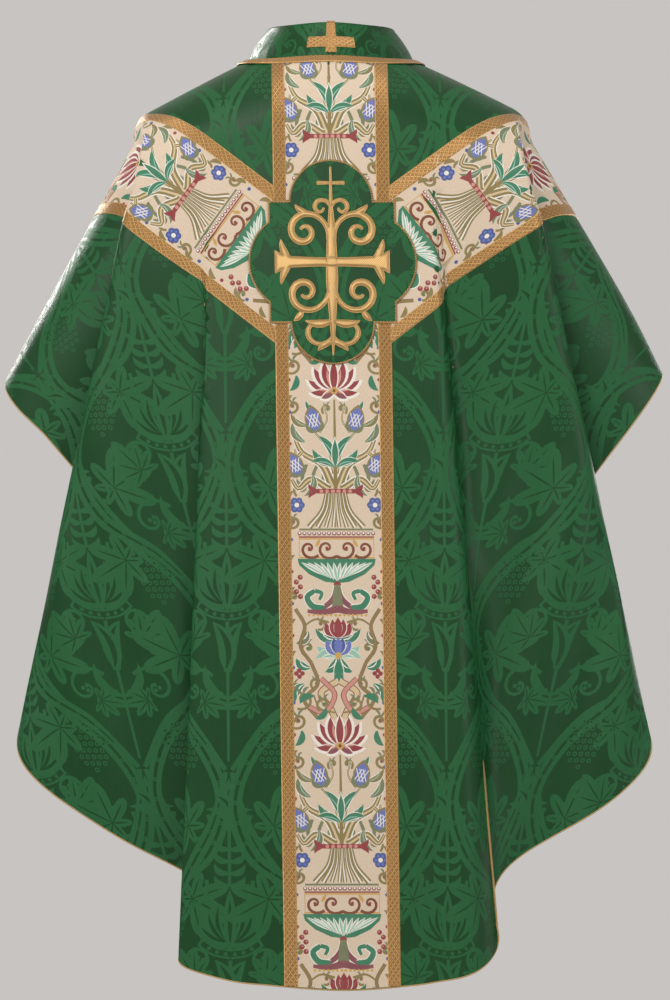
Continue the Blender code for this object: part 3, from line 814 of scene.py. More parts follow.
OLIVE = (0.230, 0.180, 0.060)
TEAL = (0.014, 0.190, 0.105)
PALE_TEAL = (0.260, 0.520, 0.420)
BLUE = (0.110, 0.160, 0.480)
DEEP_BLUE = (0.030, 0.080, 0.300)
CRIMSON = (0.260, 0.022, 0.035)
MAUVE = (0.220, 0.055, 0.080)
GOLD = (0.560, 0.340, 0.080)
WHITE = (0.820, 0.790, 0.730)
BROWN = (0.180, 0.040, 0.018)
PINK = (0.580, 0.260, 0.220)
SAGE = (0.160, 0.190, 0.100)
CREAM = (0.680, 0.555, 0.430)
STRAW = (0.640, 0.500, 0.300)
TAPESTRY_REPEAT = 0.472


def flower_half():
    """Half of the lotus that starts each repeat, and the bands that lead into it."""
    shapes = []
    for tip, width, colour in (
        ((0.034, -0.004), 0.0050, CRIMSON),
        ((0.031, 0.012), 0.0044, CRIMSON),
        ((0.026, -0.020), 0.0052, CRIMSON),
        ((0.012, -0.028), 0.0054, CRIMSON),
        ((0.017, 0.020), 0.0040, MAUVE),
    ):
        shapes += [
            (petal((0.001, 0.008), np.multiply(tip, 1.12), width * 1.55, 0.10), WHITE),
            (petal((0.001, 0.008), tip, width, 0.10), colour),
            (petal((0.002, 0.006), np.multiply(tip, 0.7), width * 0.3, 0.10), PINK),
        ]
    shapes.append((petal((0.0, 0.014), (0.006, -0.014), 0.0030, 0.0), PINK))
    shapes.append(
        (stroke([(0.006, -0.034), (0.026, -0.040), (0.034, -0.058)], (0.0012, 0.0012)), OLIVE)
    )
    shapes += [
        (petal((0.018, -0.040), (0.032, -0.026), 0.0042, 0.2), TEAL),
        (petal((0.034, -0.056), (0.052, -0.046), 0.0045, -0.2), TEAL),
        (petal((0.050, -0.010), (0.059, 0.010), 0.0042, 0.2), TEAL),
    ]
    return shapes


def pod(centre, heading, scale=1.0):
    """A blue seed pod with a pale lattice, in an olive husk."""
    direction = np.array([sin(radians(heading)), -cos(radians(heading))])
    across = np.array([-direction[1], direction[0]])
    centre = np.asarray(centre, float)

    def at(u, v):
        return centre + scale * (u * across + v * direction)

    shapes = [
        (petal(at(0, -0.017), at(0, 0.021), 0.0115 * scale), OLIVE),
        (petal(at(0, -0.014), at(0, 0.017), 0.0090 * scale), BLUE),
    ]
    for u in (-0.0045, 0.0, 0.0045):
        shapes.append((ribbon([at(u - 0.004, -0.009), at(u + 0.004, 0.008)], (0.00055,)), WHITE))
        shapes.append((ribbon([at(u + 0.004, -0.009), at(u - 0.004, 0.008)], (0.00055,)), WHITE))
    shapes.append((petal(at(0, -0.016), at(0.011, -0.003), 0.0030 * scale, 0.2), SAGE))
    shapes.append((petal(at(0, -0.016), at(-0.011, -0.003), 0.0030 * scale, -0.2), SAGE))
    return shapes


def bouquet_half():
    """Half of the stems, pods and leaves that rise out of the vase."""
    shapes = []
    for keys, widths in (
        (
            ((0.004, 0.138), (0.018, 0.108), (0.044, 0.092), (0.056, 0.066)),
            (0.0052, 0.0042, 0.0022),
        ),
        (
            ((0.010, 0.140), (0.034, 0.128), (0.050, 0.140), (0.058, 0.128)),
            (0.0045, 0.0040, 0.0022),
        ),
        (((0.002, 0.120), (0.010, 0.086), (0.026, 0.066)), (0.0022, 0.0016)),
        (((0.020, 0.066), (0.010, 0.048), (0.014, 0.030)), (0.0016, 0.0012)),
        (((0.044, 0.092), (0.052, 0.098), (0.053, 0.088)), (0.0026, 0.0014)),
    ):
        shapes += [
            (stroke(keys, [1.35 * width for width in widths]), WHITE),
            (stroke(keys, widths), OLIVE),
            (stroke(keys, [0.3 * width for width in widths]), STRAW),
        ]
    for root, tip, width, bend, colour in (
        ((0.002, 0.108), (0.030, 0.088), 0.0052, 0.16, TEAL),
        ((0.002, 0.104), (0.022, 0.070), 0.0046, -0.14, TEAL),
        ((0.002, 0.112), (0.032, 0.104), 0.0040, -0.16, TEAL),
        ((0.040, 0.078), (0.056, 0.052), 0.0044, 0.20, SAGE),
        ((0.036, 0.056), (0.058, 0.040), 0.0040, 0.20, OLIVE),
        ((0.022, 0.038), (0.038, 0.024), 0.0034, 0.18, TEAL),
        ((0.030, 0.122), (0.042, 0.150), 0.0040, 0.22, SAGE),
    ):
        shapes.append((petal(root, tip, width + 0.0011, bend), WHITE))
        shapes.append((petal(root, tip, width, bend), colour))
        shapes.append((petal(root, np.add(root, np.multiply(0.8, np.subtract(tip, root))),
                             0.0006, bend, 5), PALE_TEAL))  # fmt: skip
    shapes += pod((0.028, 0.049), 12)
    shapes += pod((0.053, 0.109), 24, 0.95)
    for k in range(6):
        at = (0.052 + 0.0062 * cos(pi * k / 3), 0.162 + 0.0062 * sin(pi * k / 3))
        shapes.append((disc(at, 0.0046), DEEP_BLUE))
        shapes.append((disc(at, 0.0022, 7), BLUE))
    shapes.append((disc((0.052, 0.162), 0.0032), WHITE))
    shapes.append((stroke([(0.0, 0.1436), (0.026, 0.1436)], (0.0034, 0.0030), 4), CRIMSON))
    for k in range(4):
        shapes.append((disc((0.004 + 0.0075 * k, 0.1436), 0.0026, 8), PINK))
    shapes.append((petal((0.022, 0.1436), (0.036, 0.134), 0.0034, 0.2), CRIMSON))
    shapes.append((petal((0.022, 0.1436), (0.036, 0.153), 0.0034, -0.2), CRIMSON))
    for end, width in ((0.036, 0.0040), (0.025, 0.0036), (0.014, 0.0030), (0.004, 0.0026)):
        keys = [(end * 0.35, 0.146), (end * 0.5, 0.168), (end, 0.1915)]
        shapes.append((stroke(keys, (width * 0.55, width)), OLIVE))
        shapes.append((stroke(keys, (width * 0.08, width * 0.32)), WHITE))
    return shapes


def vase_half():
    """Half of the vase: bead row, scrolled belly, fluted bowl, foot and its scrolls."""
    shapes = [
        (ribbon([(0.0, 0.1945), (0.049, 0.1945)], (0.0013,)), SAGE),
        (ribbon([(0.0, 0.2045), (0.050, 0.2045)], (0.0010,)), CRIMSON),
        (ribbon([(0.0, 0.2195), (0.050, 0.2195)], (0.0135,)), GOLD),
        (ribbon([(0.0, 0.2195), (0.049, 0.2195)], (0.0115,)), CREAM),
    ]
    for k in range(8):
        shapes.append((disc((0.0034 + 0.0065 * k, 0.1998), 0.0028, 8), MAUVE))
        shapes.append((disc((0.0034 + 0.0065 * k, 0.1992), 0.0016, 6), WHITE))
    for start, centre, turns in (
        ((0.000, 0.2300), (0.0130, 0.2190), 1.25),
        ((0.024, 0.2290), (0.0365, 0.2195), 1.25),
    ):
        shapes.append((ribbon(spiral(start, centre, -turns, 0.0022, 20), (0.0021, 0.0012)), BROWN))
        shapes.append((disc(centre, 0.0022, 7), CRIMSON))
    shapes.append((petal((0.022, 0.208), (0.028, 0.218), 0.0022), GOLD))
    bowl = [(0.0, 0.2335), (0.052, 0.2335), (0.050, 0.242),
            (0.037, 0.254), (0.016, 0.264), (0.0, 0.266)]  # fmt: skip
    shapes.append((np.array(bowl), TEAL))
    for k in range(6):
        rim = (0.0045 + 0.0086 * k, 0.238)
        foot = (0.0010 + 0.0034 * k, 0.2625 - 0.0016 * k)
        shapes.append((petal(foot, rim, 0.0028), WHITE))
        shapes.append((petal(foot, rim, 0.0010), PALE_TEAL))
    shapes.append((disc((0.0, 0.268), 0.0050), CRIMSON))
    for keys, colour, width in (
        (((0.0, 0.270), (0.004, 0.284), (0.016, 0.296), (0.036, 0.302)), MAUVE, 0.0042),
        (((0.018, 0.300), (0.034, 0.296), (0.040, 0.284), (0.030, 0.276)), TEAL, 0.0046),
        (((0.030, 0.276), (0.021, 0.279), (0.024, 0.288)), TEAL, 0.0030),
    ):
        shapes.append((stroke(keys, (width * 1.25, width * 1.0)), WHITE))
        shapes.append((stroke(keys, (width, width * 0.7)), colour))
    shapes.append((stroke([(0.0, 0.268), (0.0, 0.300)], (0.0040, 0.0080), 6), SAGE))
    shapes.append(
        (stroke([(0.0, 0.300), (0.020, 0.3045), (0.040, 0.303)], (0.0050, 0.0024)), MAUVE)
    )
    for k in range(7):
        shapes.append((disc((0.003 + 0.0058 * k, 0.3085), 0.0019, 7), GOLD))
    for k in range(5):
        at = (0.049 + 0.0052 * (k % 2), 0.258 + 0.0064 * k)
        shapes.append((disc(at, 0.0036, 8), CRIMSON))
        shapes.append((disc((at[0] - 0.0008, at[1] - 0.0008), 0.0012, 6), PINK))
    return shapes


def garden_half():
    """Half of the tulip, blue flower, leaves and interlaced bands under the vase."""
    shapes = []
    for root, tip, width, bend, colour in (
        ((0.0, 0.336), (0.016, 0.318), 0.0056, 0.20, CRIMSON),
        ((0.0, 0.338), (0.007, 0.314), 0.0050, 0.10, CRIMSON),
        ((0.0, 0.340), (0.030, 0.326), 0.0046, 0.22, TEAL),
        ((0.0, 0.360), (0.028, 0.350), 0.0066, 0.14, PALE_TEAL),
        ((0.0, 0.362), (0.030, 0.366), 0.0052, -0.16, PALE_TEAL),
        ((0.0, 0.360), (0.016, 0.342), 0.0064, 0.10, BLUE),
        ((0.0, 0.360), (0.006, 0.339), 0.0052, 0.05, DEEP_BLUE),
        ((0.003, 0.366), (0.018, 0.384), 0.0056, 0.18, TEAL),
        ((0.001, 0.368), (0.006, 0.394), 0.0050, 0.10, TEAL),
        ((0.040, 0.330), (0.056, 0.346), 0.0050, 0.20, SAGE),
        ((0.038, 0.378), (0.056, 0.366), 0.0052, 0.20, TEAL),
        ((0.046, 0.400), (0.058, 0.424), 0.0052, -0.20, TEAL),
    ):
        shapes.append((petal(root, tip, width + 0.0011, bend), WHITE))
        shapes.append((petal(root, tip, width, bend), colour))
        middle = np.add(root, np.multiply(0.75, np.subtract(tip, root)))
        shapes.append((petal(root, middle, 0.0008, bend, 5), WHITE))
    for keys, colour, width in (
        (((0.056, 0.300), (0.044, 0.322), (0.050, 0.350), (0.036, 0.372)), OLIVE, 0.0018),
        (((0.036, 0.372), (0.028, 0.400), (0.046, 0.420), (0.030, 0.444)), OLIVE, 0.0018),
        (((0.002, 0.396), (0.024, 0.412), (0.010, 0.436), (0.006, 0.446)), STRAW, 0.0034),
        (((0.024, 0.392), (0.006, 0.414), (0.022, 0.438), (0.040, 0.430)), PINK, 0.0026),
    ):
        shapes.append((stroke(keys, (width * 1.35, width * 1.35), 20), BROWN))
        shapes.append((stroke(keys, (width, width), 20), colour))
    shapes.append(
        (stroke([(0.012, 0.318), (0.030, 0.314), (0.044, 0.322)], (0.0016, 0.0012)), OLIVE)
    )
    for k in range(4):
        at = (0.052 + 0.004 * cos(1.6 * k), 0.386 + 0.004 * sin(1.6 * k))
        shapes.append((disc(at, 0.0032, 8), CRIMSON))
    return shapes


def filling_half():
    """Half of the fine scrolls and sprigs that fill the ground between the larger figures."""
    shapes = []
    for at, size, turns in (
        ((0.047, -0.052), 0.0085, 1.3),
        ((0.020, -0.046), 0.0065, -1.2),
        ((0.055, 0.030), 0.0060, 1.2),
        ((0.010, 0.034), 0.0045, -1.1),
        ((0.045, 0.140), 0.0070, -1.3),
        ((0.056, 0.184), 0.0055, 1.2),
        ((0.058, 0.284), 0.0050, -1.2),
        ((0.022, 0.320), 0.0050, 1.1),
        ((0.040, 0.352), 0.0060, -1.2),
        ((0.058, 0.404), 0.0055, 1.2),
        ((0.030, 0.398), 0.0050, -1.1),
        ((0.054, 0.448), 0.0070, 1.3),
    ):
        curl = spiral((at[0] + size, at[1] + 1.5 * size), at, turns, 0.22 * size, 22)
        shapes.append((ribbon(curl, (0.0016, 0.0022, 0.0012)), OLIVE))
        shapes.append((disc(at, 0.30 * size, 8), MAUVE if turns > 0 else TEAL))
        for lean in (-1, 1):
            tip = (at[0] + 0.9 * size * lean, at[1] - 1.9 * size)
            shapes.append((petal((at[0], at[1] - 0.8 * size), tip, 0.22 * size, 0.2), SAGE))
    for k in range(11):
        v = -0.055 + 0.0425 * k
        shapes.append((petal((0.0635, v), (0.0555, v - 0.014), 0.0030, 0.2), OLIVE))
        shapes.append((disc((0.0600, v + 0.008), 0.0026, 8), CRIMSON if k % 2 else DEEP_BLUE))
    for u in (0.010, 0.024, 0.038):
        keys = [(u, 0.108), (u + 0.006, 0.126), (u + 0.002, 0.140)]
        shapes.append((stroke(keys, (0.0020, 0.0028)), SAGE))
    return shapes


def tapestry_axis():
    """Shapes on the repeat's centre line."""
    return [
        (stroke([(0, 0.022), (0, 0.140)], (0.0018, 0.0030), 5), OLIVE),
        (petal((0, 0.112), (0, 0.070), 0.0050), WHITE),
        (petal((0, 0.112), (0, 0.073), 0.0040), TEAL),
        (petal((0, 0.012), (0, -0.034), 0.0066), WHITE),
        (petal((0, 0.010), (0, -0.031), 0.0048), CRIMSON),
        (disc((0, 0.010), 0.0052), GOLD),
        (disc((0, 0.010), 0.0026), BROWN),
        (petal((0, 0.338), (0, 0.311), 0.0054), CRIMSON),
        (petal((0, 0.362), (0, 0.337), 0.0050), BLUE),
        (disc((0, 0.362), 0.0048), GOLD),
        (petal((0, 0.368), (0, 0.398), 0.0044), TEAL),
    ]


def tapestry_unit():
    """One repeat of the orphrey, `u` across and `v` down from the flower's heart."""
    half = filling_half() + garden_half() + bouquet_half() + vase_half() + flower_half()
    unit = []
    for shape, colour in half:
        unit.append((np.asarray(shape, float), colour))
        unit.append((mirrored(shape), colour))
    return unit + tapestry_axis()


def tapestry_design(placed, outline):
    """The repeats that reach an outline, each shape moved into the cloth by `placed`."""
    low, high = outline.min(axis=0), outline.max(axis=0)
    shapes = []
    for row in (-1, 0, 1, 2):
        for shape, colour in tapestry_unit():
            moved = placed(shape + (0, row * TAPESTRY_REPEAT))
            if (moved.max(axis=0) > low).all() and (moved.min(axis=0) < high).all():
                shapes.append((moved, colour))
    return shapes


# ---------------------------------------------------------------- orphreys and braids


def finer(points, outline, spacing):
    """The drape's points near an outline, with a regular grid between them."""
    low, high = outline.min(axis=0), outline.max(axis=0)
    a, b = np.meshgrid(np.arange(low[0], high[0], spacing), np.arange(low[1], high[1], spacing))
    grid = np.stack([a.ravel() + 0.0007, b.ravel() + 0.0007], axis=1)
    both = np.concatenate([points, grid])
    near = ((both > low) & (both < high)).all(axis=1)
    return both[near & (both[:, 1] > shoulder(np.abs(both[:, 0])) + 0.001)]


def below_shoulder(outline):
    """The outline with anything above the shoulder line moved down to it."""
    outline = outline.copy()
    outline[:, 1] = np.maximum(outline[:, 1], shoulder(np.abs(outline[:, 0])) + 0.0012)
    return outline


def tapestry_piece(name, outline, placed, face, material, *nodes):
    design = tapestry_design(placed, outline)
    extra = finer(drape_points(), outline, 0.012)
    flat, faces, last = mosaic(outline, [shape for shape, _ in design], extra)
    colours = np.array([colour for _, colour in design] + [CREAM])
    points, out = hang(flat, face, TAPESTRY_AT)
    piece = make_mesh(name, points, outward_faces(faces, face), out, flat, colour=colours[last])
    finish_piece(piece, material, "tapestry", *nodes)


def cut_to(panel, line):
    """Cuts an upright column outline along the hem and the neckline."""
    hem = hem_line(400)
    neck = neck_line(panel, 0, 200)
    cut = line.copy()
    out = np.abs(cut[:, 0])
    bottom = np.interp(out, hem[:, 0][: np.argmax(hem[:, 0])], hem[:, 1][: np.argmax(hem[:, 0])])
    top = np.interp(out, neck[:, 0], neck[:, 1])
    cut[:, 1] = np.clip(cut[:, 1], top + 0.001, bottom - 0.0015)
    return cut


def column_outline(panel, top, bottom):
    edge = COLUMN_HALF - 0.002
    across = np.linspace(-edge, edge, 24)
    lower = np.stack([across[::-1], np.full(24, bottom)], axis=1)
    upper = np.stack([across, np.full(24, top)], axis=1)
    return cut_to(panel, np.concatenate([upper, lower]))


def arm_frame(side):
    """Carries tapestry coordinates into the arm of the Y on one side."""
    top, base = np.array(ARM_TOP), np.array(ARM_BASE)
    start = (top[0] + base[0]) / 2
    along = (top[1] - top[0]) + (base[1] - base[0])
    along /= np.hypot(*along)
    across = np.array([-along[1], along[0]])

    def placed(shape):
        u, v = shape[:, 0], shape[:, 1]
        flat = start + np.outer(ARM_PHASE - v, along) + np.outer(u, across)
        return flat * (side, 1)

    return placed


# Where a repeat's flower lies: along an arm from its root, and down the centre line.
ARM_PHASE = 0.293
FLOWER_AT = 0.506


def braid_strip(name, line, width, place, material, above, *nodes):
    """A galloon along a flat line: corded edges, and a trellis of raised lozenges lit up with
    painted glints.
    """
    line = resampled(line, 0.0022)
    along = np.gradient(line, axis=0)
    along /= np.hypot(*along.T)[:, None]
    across = np.stack([-along[:, 1], along[:, 0]], axis=1)
    profile = np.linspace(-1, 1, 13)
    rows = len(line)
    reach = np.append(0, np.cumsum(np.hypot(*np.diff(line, axis=0).T)))
    i, k = np.meshgrid(np.arange(rows), np.arange(13), indexing="ij")
    flat = line[:, None] + across[:, None] * (profile * width / 2)[None, :, None]
    edge = np.exp(-(((np.abs(profile) - 0.88) / 0.09) ** 2))
    lozenge = np.abs(np.sin(pi * (i + k) / 4) * np.sin(pi * (i - k) / 4))
    height = above + 0.0004 * edge[None] + 0.00045 * lozenge
    height[:, (0, -1)] = above - 0.0007
    points, out = place(flat.reshape(-1, 2), height.reshape(-1, 1))
    uv = np.stack([reach[:, None] + 0 * k, (profile * width / 2)[None] + 0 * i], axis=-1)
    index = np.arange(rows * 13).reshape(rows, 13)
    quads = np.stack([index[:-1, :-1], index[1:, :-1], index[1:, 1:], index[:-1, 1:]], axis=-1)
    i, k = i[:-1, :-1], k[:-1, :-1]
    # Painted glints: the woven trellis and the corded edges get bright gold, and a scatter of faces
    # gets an extra painted sparkle.
    glint_trellis = ((i + k) % 4 == 0) | ((i - k) % 4 == 0) | (k == 0) | (k == 11)
    tone = np.where(glint_trellis, 0.75, 0.15) + 0.25 * (((i * 7 + k * 3) % 5) == 0)
    quads = quads.reshape(-1, 4)
    if against(points, quads, out):
        quads = quads[:, ::-1]
    piece = make_mesh(name, points, quads, None, uv.reshape(-1, 2), tone=tone.ravel())
    return finish_piece(piece, material, "gold_braid", *nodes)


def build_orphrey(panel, materials):
    """The column and arms of the Y on one panel, with the braids that edge them."""
    face = -1 if panel == "back" else 1

    def place(flat, above):
        return hang(flat, face, above)

    def column_place(shape):
        return shape + (0, FLOWER_AT)

    low = HEM[0][1] + 0.02
    if panel == "back":
        spans = {"upper": (0.0, COLUMN_SPLIT), "lower": (COLUMN_SPLIT, low)}
    else:
        spans = {"column": (0.0, low)}
    middle = COLUMN_HALF - BRAID / 2
    for key, (top, bottom) in spans.items():
        node = panel + ("_column" if key == "column" else "_column_" + key)
        outline = column_outline(panel, top, bottom)
        tapestry_piece(node + "_tapestry", outline, column_place, face, materials["tapestry"], node)
        for side, word in ((-1, "_left"), (1, "_right")):
            line = np.array([(side * middle, top), (side * middle, bottom)])
            line = cut_to(panel, line)
            name = panel + "_galloon_" + key + word
            braid_strip(name, line, BRAID, place, materials["braid"], BRAID_AT,
                        panel + "_braid_" + key + word)  # fmt: skip
    top, base = np.array(ARM_TOP), np.array(ARM_BASE)
    for side, word in ((-1, "_left"), (1, "_right")):
        inner_top, inner_base = edged(top, 0.002, 1), edged(base, 0.002, -1)
        outline = np.concatenate([resampled(inner_top, 0.01), resampled(inner_base, 0.01)[::-1]])
        outline = below_shoulder(outline) * (side, 1)
        node = panel + "_arm" + word
        tapestry_piece(node + "_tapestry", outline, arm_frame(side), face,
                       materials["tapestry"], node)  # fmt: skip
        for key, line, outward in (("arm_top", top, 1), ("arm_base", base, -1)):
            longer = line[0] - 0.022 * (line[1] - line[0]) / np.hypot(*(line[1] - line[0]))
            line = np.concatenate([[longer], line[1:]])
            middle_line = resampled(edged(line, BRAID / 2, outward), 0.002)
            kept = middle_line[:, 1] > shoulder(middle_line[:, 0]) + 0.002
            kept &= middle_line[:, 0] > COLUMN_HALF - 0.012
            name = panel + "_galloon_" + key + word
            braid_strip(name, middle_line[kept] * (side, 1), BRAID, place, materials["braid"],
                        BRAID_AT - 0.00035, panel + "_braid_" + key + word)  # fmt: skip
    neck = neck_line(panel, NECK_BRAID / 2, 60)
    neck = neck[neck[:, 1] > shoulder(neck[:, 0]) + 0.0006]
    ring = np.concatenate([neck[::-1], neck[1:] * (-1, 1)])

    def neck_place(flat, above):
        rise = smooth((flat[:, 1] - shoulder(np.abs(flat[:, 0]))) / 0.012)
        return hang(flat, face, above * (0.45 + 0.55 * rise[:, None]))

    braid_strip("neck_galloon_" + panel, ring, NECK_BRAID, neck_place, materials["braid"], OVER_AT,
                "neck_braid_" + panel)  # fmt: skip


# ---------------------------------------------------------------- cords and edges


def tube(name, path, radius, material, slot, *nodes, sides=6, closed=True, strands=()):
    """A round cord along a 3-D path; `strands` lists (helix radius, turns, phase) of each ply."""
    ahead = np.roll(path, -1, axis=0) - np.roll(path, 1, axis=0)
    if not closed:
        ahead = np.gradient(path, axis=0)
    ahead /= np.linalg.norm(ahead, axis=1)[:, None]
    up = np.where(np.abs(ahead[:, 1:2]) < 0.9, (0.0, 1.0, 0.0), (0.0, 0.0, 1.0))
    across = np.cross(ahead, up)
    across /= np.linalg.norm(across, axis=1)[:, None]
    up = np.cross(across, ahead)
    count = len(path)
    turn = np.linspace(0, 2 * pi, count, endpoint=not closed)[:, None]
    vertices, quads = [], []
    reach = np.append(0, np.cumsum(np.linalg.norm(np.diff(path, axis=0), axis=1)))
    uvs = []
    for helix, turns, phase in strands or ((0.0, 0, 0.0),):
        angle = turns * turn + phase
        centre = path + helix * (np.cos(angle) * across + np.sin(angle) * up)
        first = len(vertices) * count
        for k in range(sides):
            t = 2 * pi * k / sides
            vertices.append(centre + radius * (cos(t) * across + sin(t) * up))
            uvs.append(np.stack([reach, np.full(count, k * 2 * pi * radius / sides)], axis=1))
        steps = count if closed else count - 1
        i = np.arange(steps)
        j = (i + 1) % count
        for k in range(sides):
            one, two = first + k * count, first + ((k + 1) % sides) * count
            quads.append(np.stack([one + i, one + j, two + j, two + i], axis=1))
    vertices, quads, uvs = np.concatenate(vertices), np.concatenate(quads), np.concatenate(uvs)
    piece = make_mesh(name, vertices, quads, None, uvs)
    return finish_piece(piece, material, slot, *nodes)


def build_edges(materials):
    """The rolled hem of each panel and the corded seams along the shoulders."""
    for panel, face in (("back", -1), ("front", 1)):
        right = hem_line(420)
        line = np.concatenate([right[::-1] * (-1, 1), right[1:]])
        path, _ = hang(line, face, 0.0)
        tube(panel + "_rolled_hem", path, 0.0012, materials["lining"], "gold_lining", closed=False)
    a = np.linspace(NECK_HALF - 0.002, WRIST[0], 240)
    for side, word in ((-1, "left"), (1, "right")):
        path = drape(a, shoulder(a), side, 1) * (1, 0, 1)
        tube("shoulder_seam_" + word, path, 0.0017, materials["seam"], "green_silk", closed=False)


# ---------------------------------------------------------------- medallion


def emblem_shapes():
    """A gold cross with a tapering staff, scrolls in its four corners and leaves at its foot."""
    shapes = [
        stroke([(0, -0.126), (0, -0.062), (0, -0.040), (0, 0.050), (0, 0.085), (0, 0.124)],
               (0.0015, 0.0024, 0.0060, 0.0078, 0.0042, 0.0012), 30),
        ribbon([(-0.018, -0.105), (0, -0.105), (0.018, -0.105)], (0.0022, 0.0014, 0.0022)),
        ribbon([(-0.076, 0), (-0.062, 0), (-0.020, 0), (0.020, 0), (0.062, 0), (0.076, 0)],
               (0.0150, 0.0075, 0.0055, 0.0055, 0.0075, 0.0150)),
    ]  # fmt: skip
    half = []
    for start, centre, turns, end, widths in (
        ((0.004, -0.030), (0.036, -0.040), 1.45, 0.006, (0.0022, 0.0038, 0.0042, 0.0030, 0.0014)),
        ((0.004, 0.030), (0.036, 0.040), -1.45, 0.006, (0.0022, 0.0038, 0.0042, 0.0030, 0.0014)),
        ((0.002, -0.062), (0.014, -0.072), 1.10, 0.004, (0.0016, 0.0026, 0.0010)),
        ((0.002, 0.100), (0.020, 0.092), -0.75, 0.010, (0.0014, 0.0030, 0.0012)),
    ):
        half.append(ribbon(spiral(start, centre, turns, end, 48), widths))
    half += [
        petal((0.001, 0.078), (0.036, 0.078), 0.0048, 0.12, 12),
        petal((0.000, 0.106), (0.020, 0.118), 0.0038, -0.12, 12),
        petal((0.052, 0.002), (0.068, -0.030), 0.0042, 0.10, 12),
        petal((0.052, -0.002), (0.068, 0.030), 0.0042, -0.10, 12),
        petal((0.030, -0.066), (0.048, -0.076), 0.0036, 0.15, 10),
        petal((0.040, 0.064), (0.052, 0.078), 0.0036, 0.10, 10),
    ]
    return shapes + half + [mirrored(shape) for shape in half]


def rim_loops(faces):
    """The closed loops of vertices round a set of triangles."""
    ends = np.concatenate([faces[:, [0, 1]], faces[:, [1, 2]], faces[:, [2, 0]]])
    pairs = set(map(tuple, ends.tolist()))
    follow = {i: j for i, j in pairs if (j, i) not in pairs}
    loops = []
    while follow:
        start, at = follow.popitem()
        loop = [start]
        while at in follow:
            loop.append(at)
            at = follow.pop(at)
        loops.append(loop)
    return loops


def build_medallion(materials):
    outline = medallion_outline(4) + (0, MEDALLION_AT)
    design = damask_design(outline.min(axis=0), outline.max(axis=0))
    extra = finer(np.zeros((0, 2)), outline, 0.006)
    flat, faces, last = mosaic(outline, [shape for shape, _ in design], extra)
    tones = np.array([tone for _, tone in design] + [0.0])
    points, out = hang(flat, -1, OVER_AT)
    ground = make_mesh(
        "medallion_silk", points, outward_faces(faces, -1), out, flat, tone=tones[last]
    )
    finish_piece(ground, materials["medallion"], "green_silk", "medallion_ground")

    path, _ = hang(resampled(outline, 0.0012, closed=True), -1, 0.0029)
    plies = ((0.00075, 110, 0.0), (0.00075, 110, pi))
    tube("medallion_twisted_cord", path, 0.0009, materials["gold"], "gold_thread",
         "medallion_cord", strands=plies)  # fmt: skip

    shapes = emblem_shapes()
    frame_box = np.array([(-0.1, -0.14), (0.1, -0.14), (0.1, 0.14), (-0.1, 0.14)])
    a, b = np.meshgrid(np.arange(-0.09, 0.09, 0.0016), np.arange(-0.13, 0.13, 0.0016))
    flat, faces, last = mosaic(frame_box, shapes, np.stack([a.ravel(), b.ravel()], axis=1))
    faces = faces[last >= 0]
    loops = rim_loops(faces)
    pairs = [np.stack([flat[loop], flat[np.roll(loop, -1)]], axis=1) for loop in loops]
    rim = np.concatenate(pairs)
    used = np.unique(faces)
    away = np.full(len(flat), 0.0)
    along = rim[:, 1] - rim[:, 0]
    for part in np.array_split(used, 12):
        offset = flat[part][:, None] - rim[:, 0]
        t = np.clip((offset * along).sum(axis=2) / (along**2).sum(axis=1), 0, 1)
        away[part] = np.linalg.norm(offset - t[..., None] * along, axis=2).min(axis=1)
    height = OVER_AT + 0.0001 + 0.0017 * np.sqrt(np.clip(away / 0.0032, 0, 1))
    placed = flat + (0, MEDALLION_AT)
    points, _ = hang(placed, -1, height[:, None])
    goldwork = make_mesh("medallion_goldwork", points, faces[:, ::-1], None, placed)
    finish_piece(goldwork, materials["gold"], "gold_thread", "medallion_emblem")
    for number, loop in enumerate(loop for loop in loops if len(loop) > 12):
        path, _ = hang(resampled(placed[loop], 0.002, closed=True), -1, OVER_AT + 0.0006)
        edge = tube(f"medallion_edge_cord_{number}", path, 0.0006, materials["highlit_edge_gold"],
                    "gold_thread", sides=5)  # fmt: skip
        edge.parent = goldwork
        edge.matrix_parent_inverse = goldwork.matrix_world.inverted()


# ---------------------------------------------------------------- collar


def collar_base():
    """The neck seam as a closed ring of points from the back centre, and the height there."""
    t = np.linspace(0, pi / 2, 60)
    sides = {}
    for side in (1, -1):
        line = []
        for panel, face in (("back", -1), ("front", 1)):
            a = (NECK_HALF - COLLAR_INSET) * np.sin(t)
            d = (NECK_DROP[panel] - COLLAR_INSET) * np.cos(t)
            line.append(drape(a, shoulder(a) + d, side, face))
        sides[side] = np.concatenate([line[0], line[1][-2::-1]])
    ring = np.concatenate([sides[-1][::-1], sides[1][1:]])
    reach = np.append(0, np.cumsum(np.linalg.norm(np.diff(ring, axis=0), axis=1)))
    return ring, reach - reach[-1] / 2


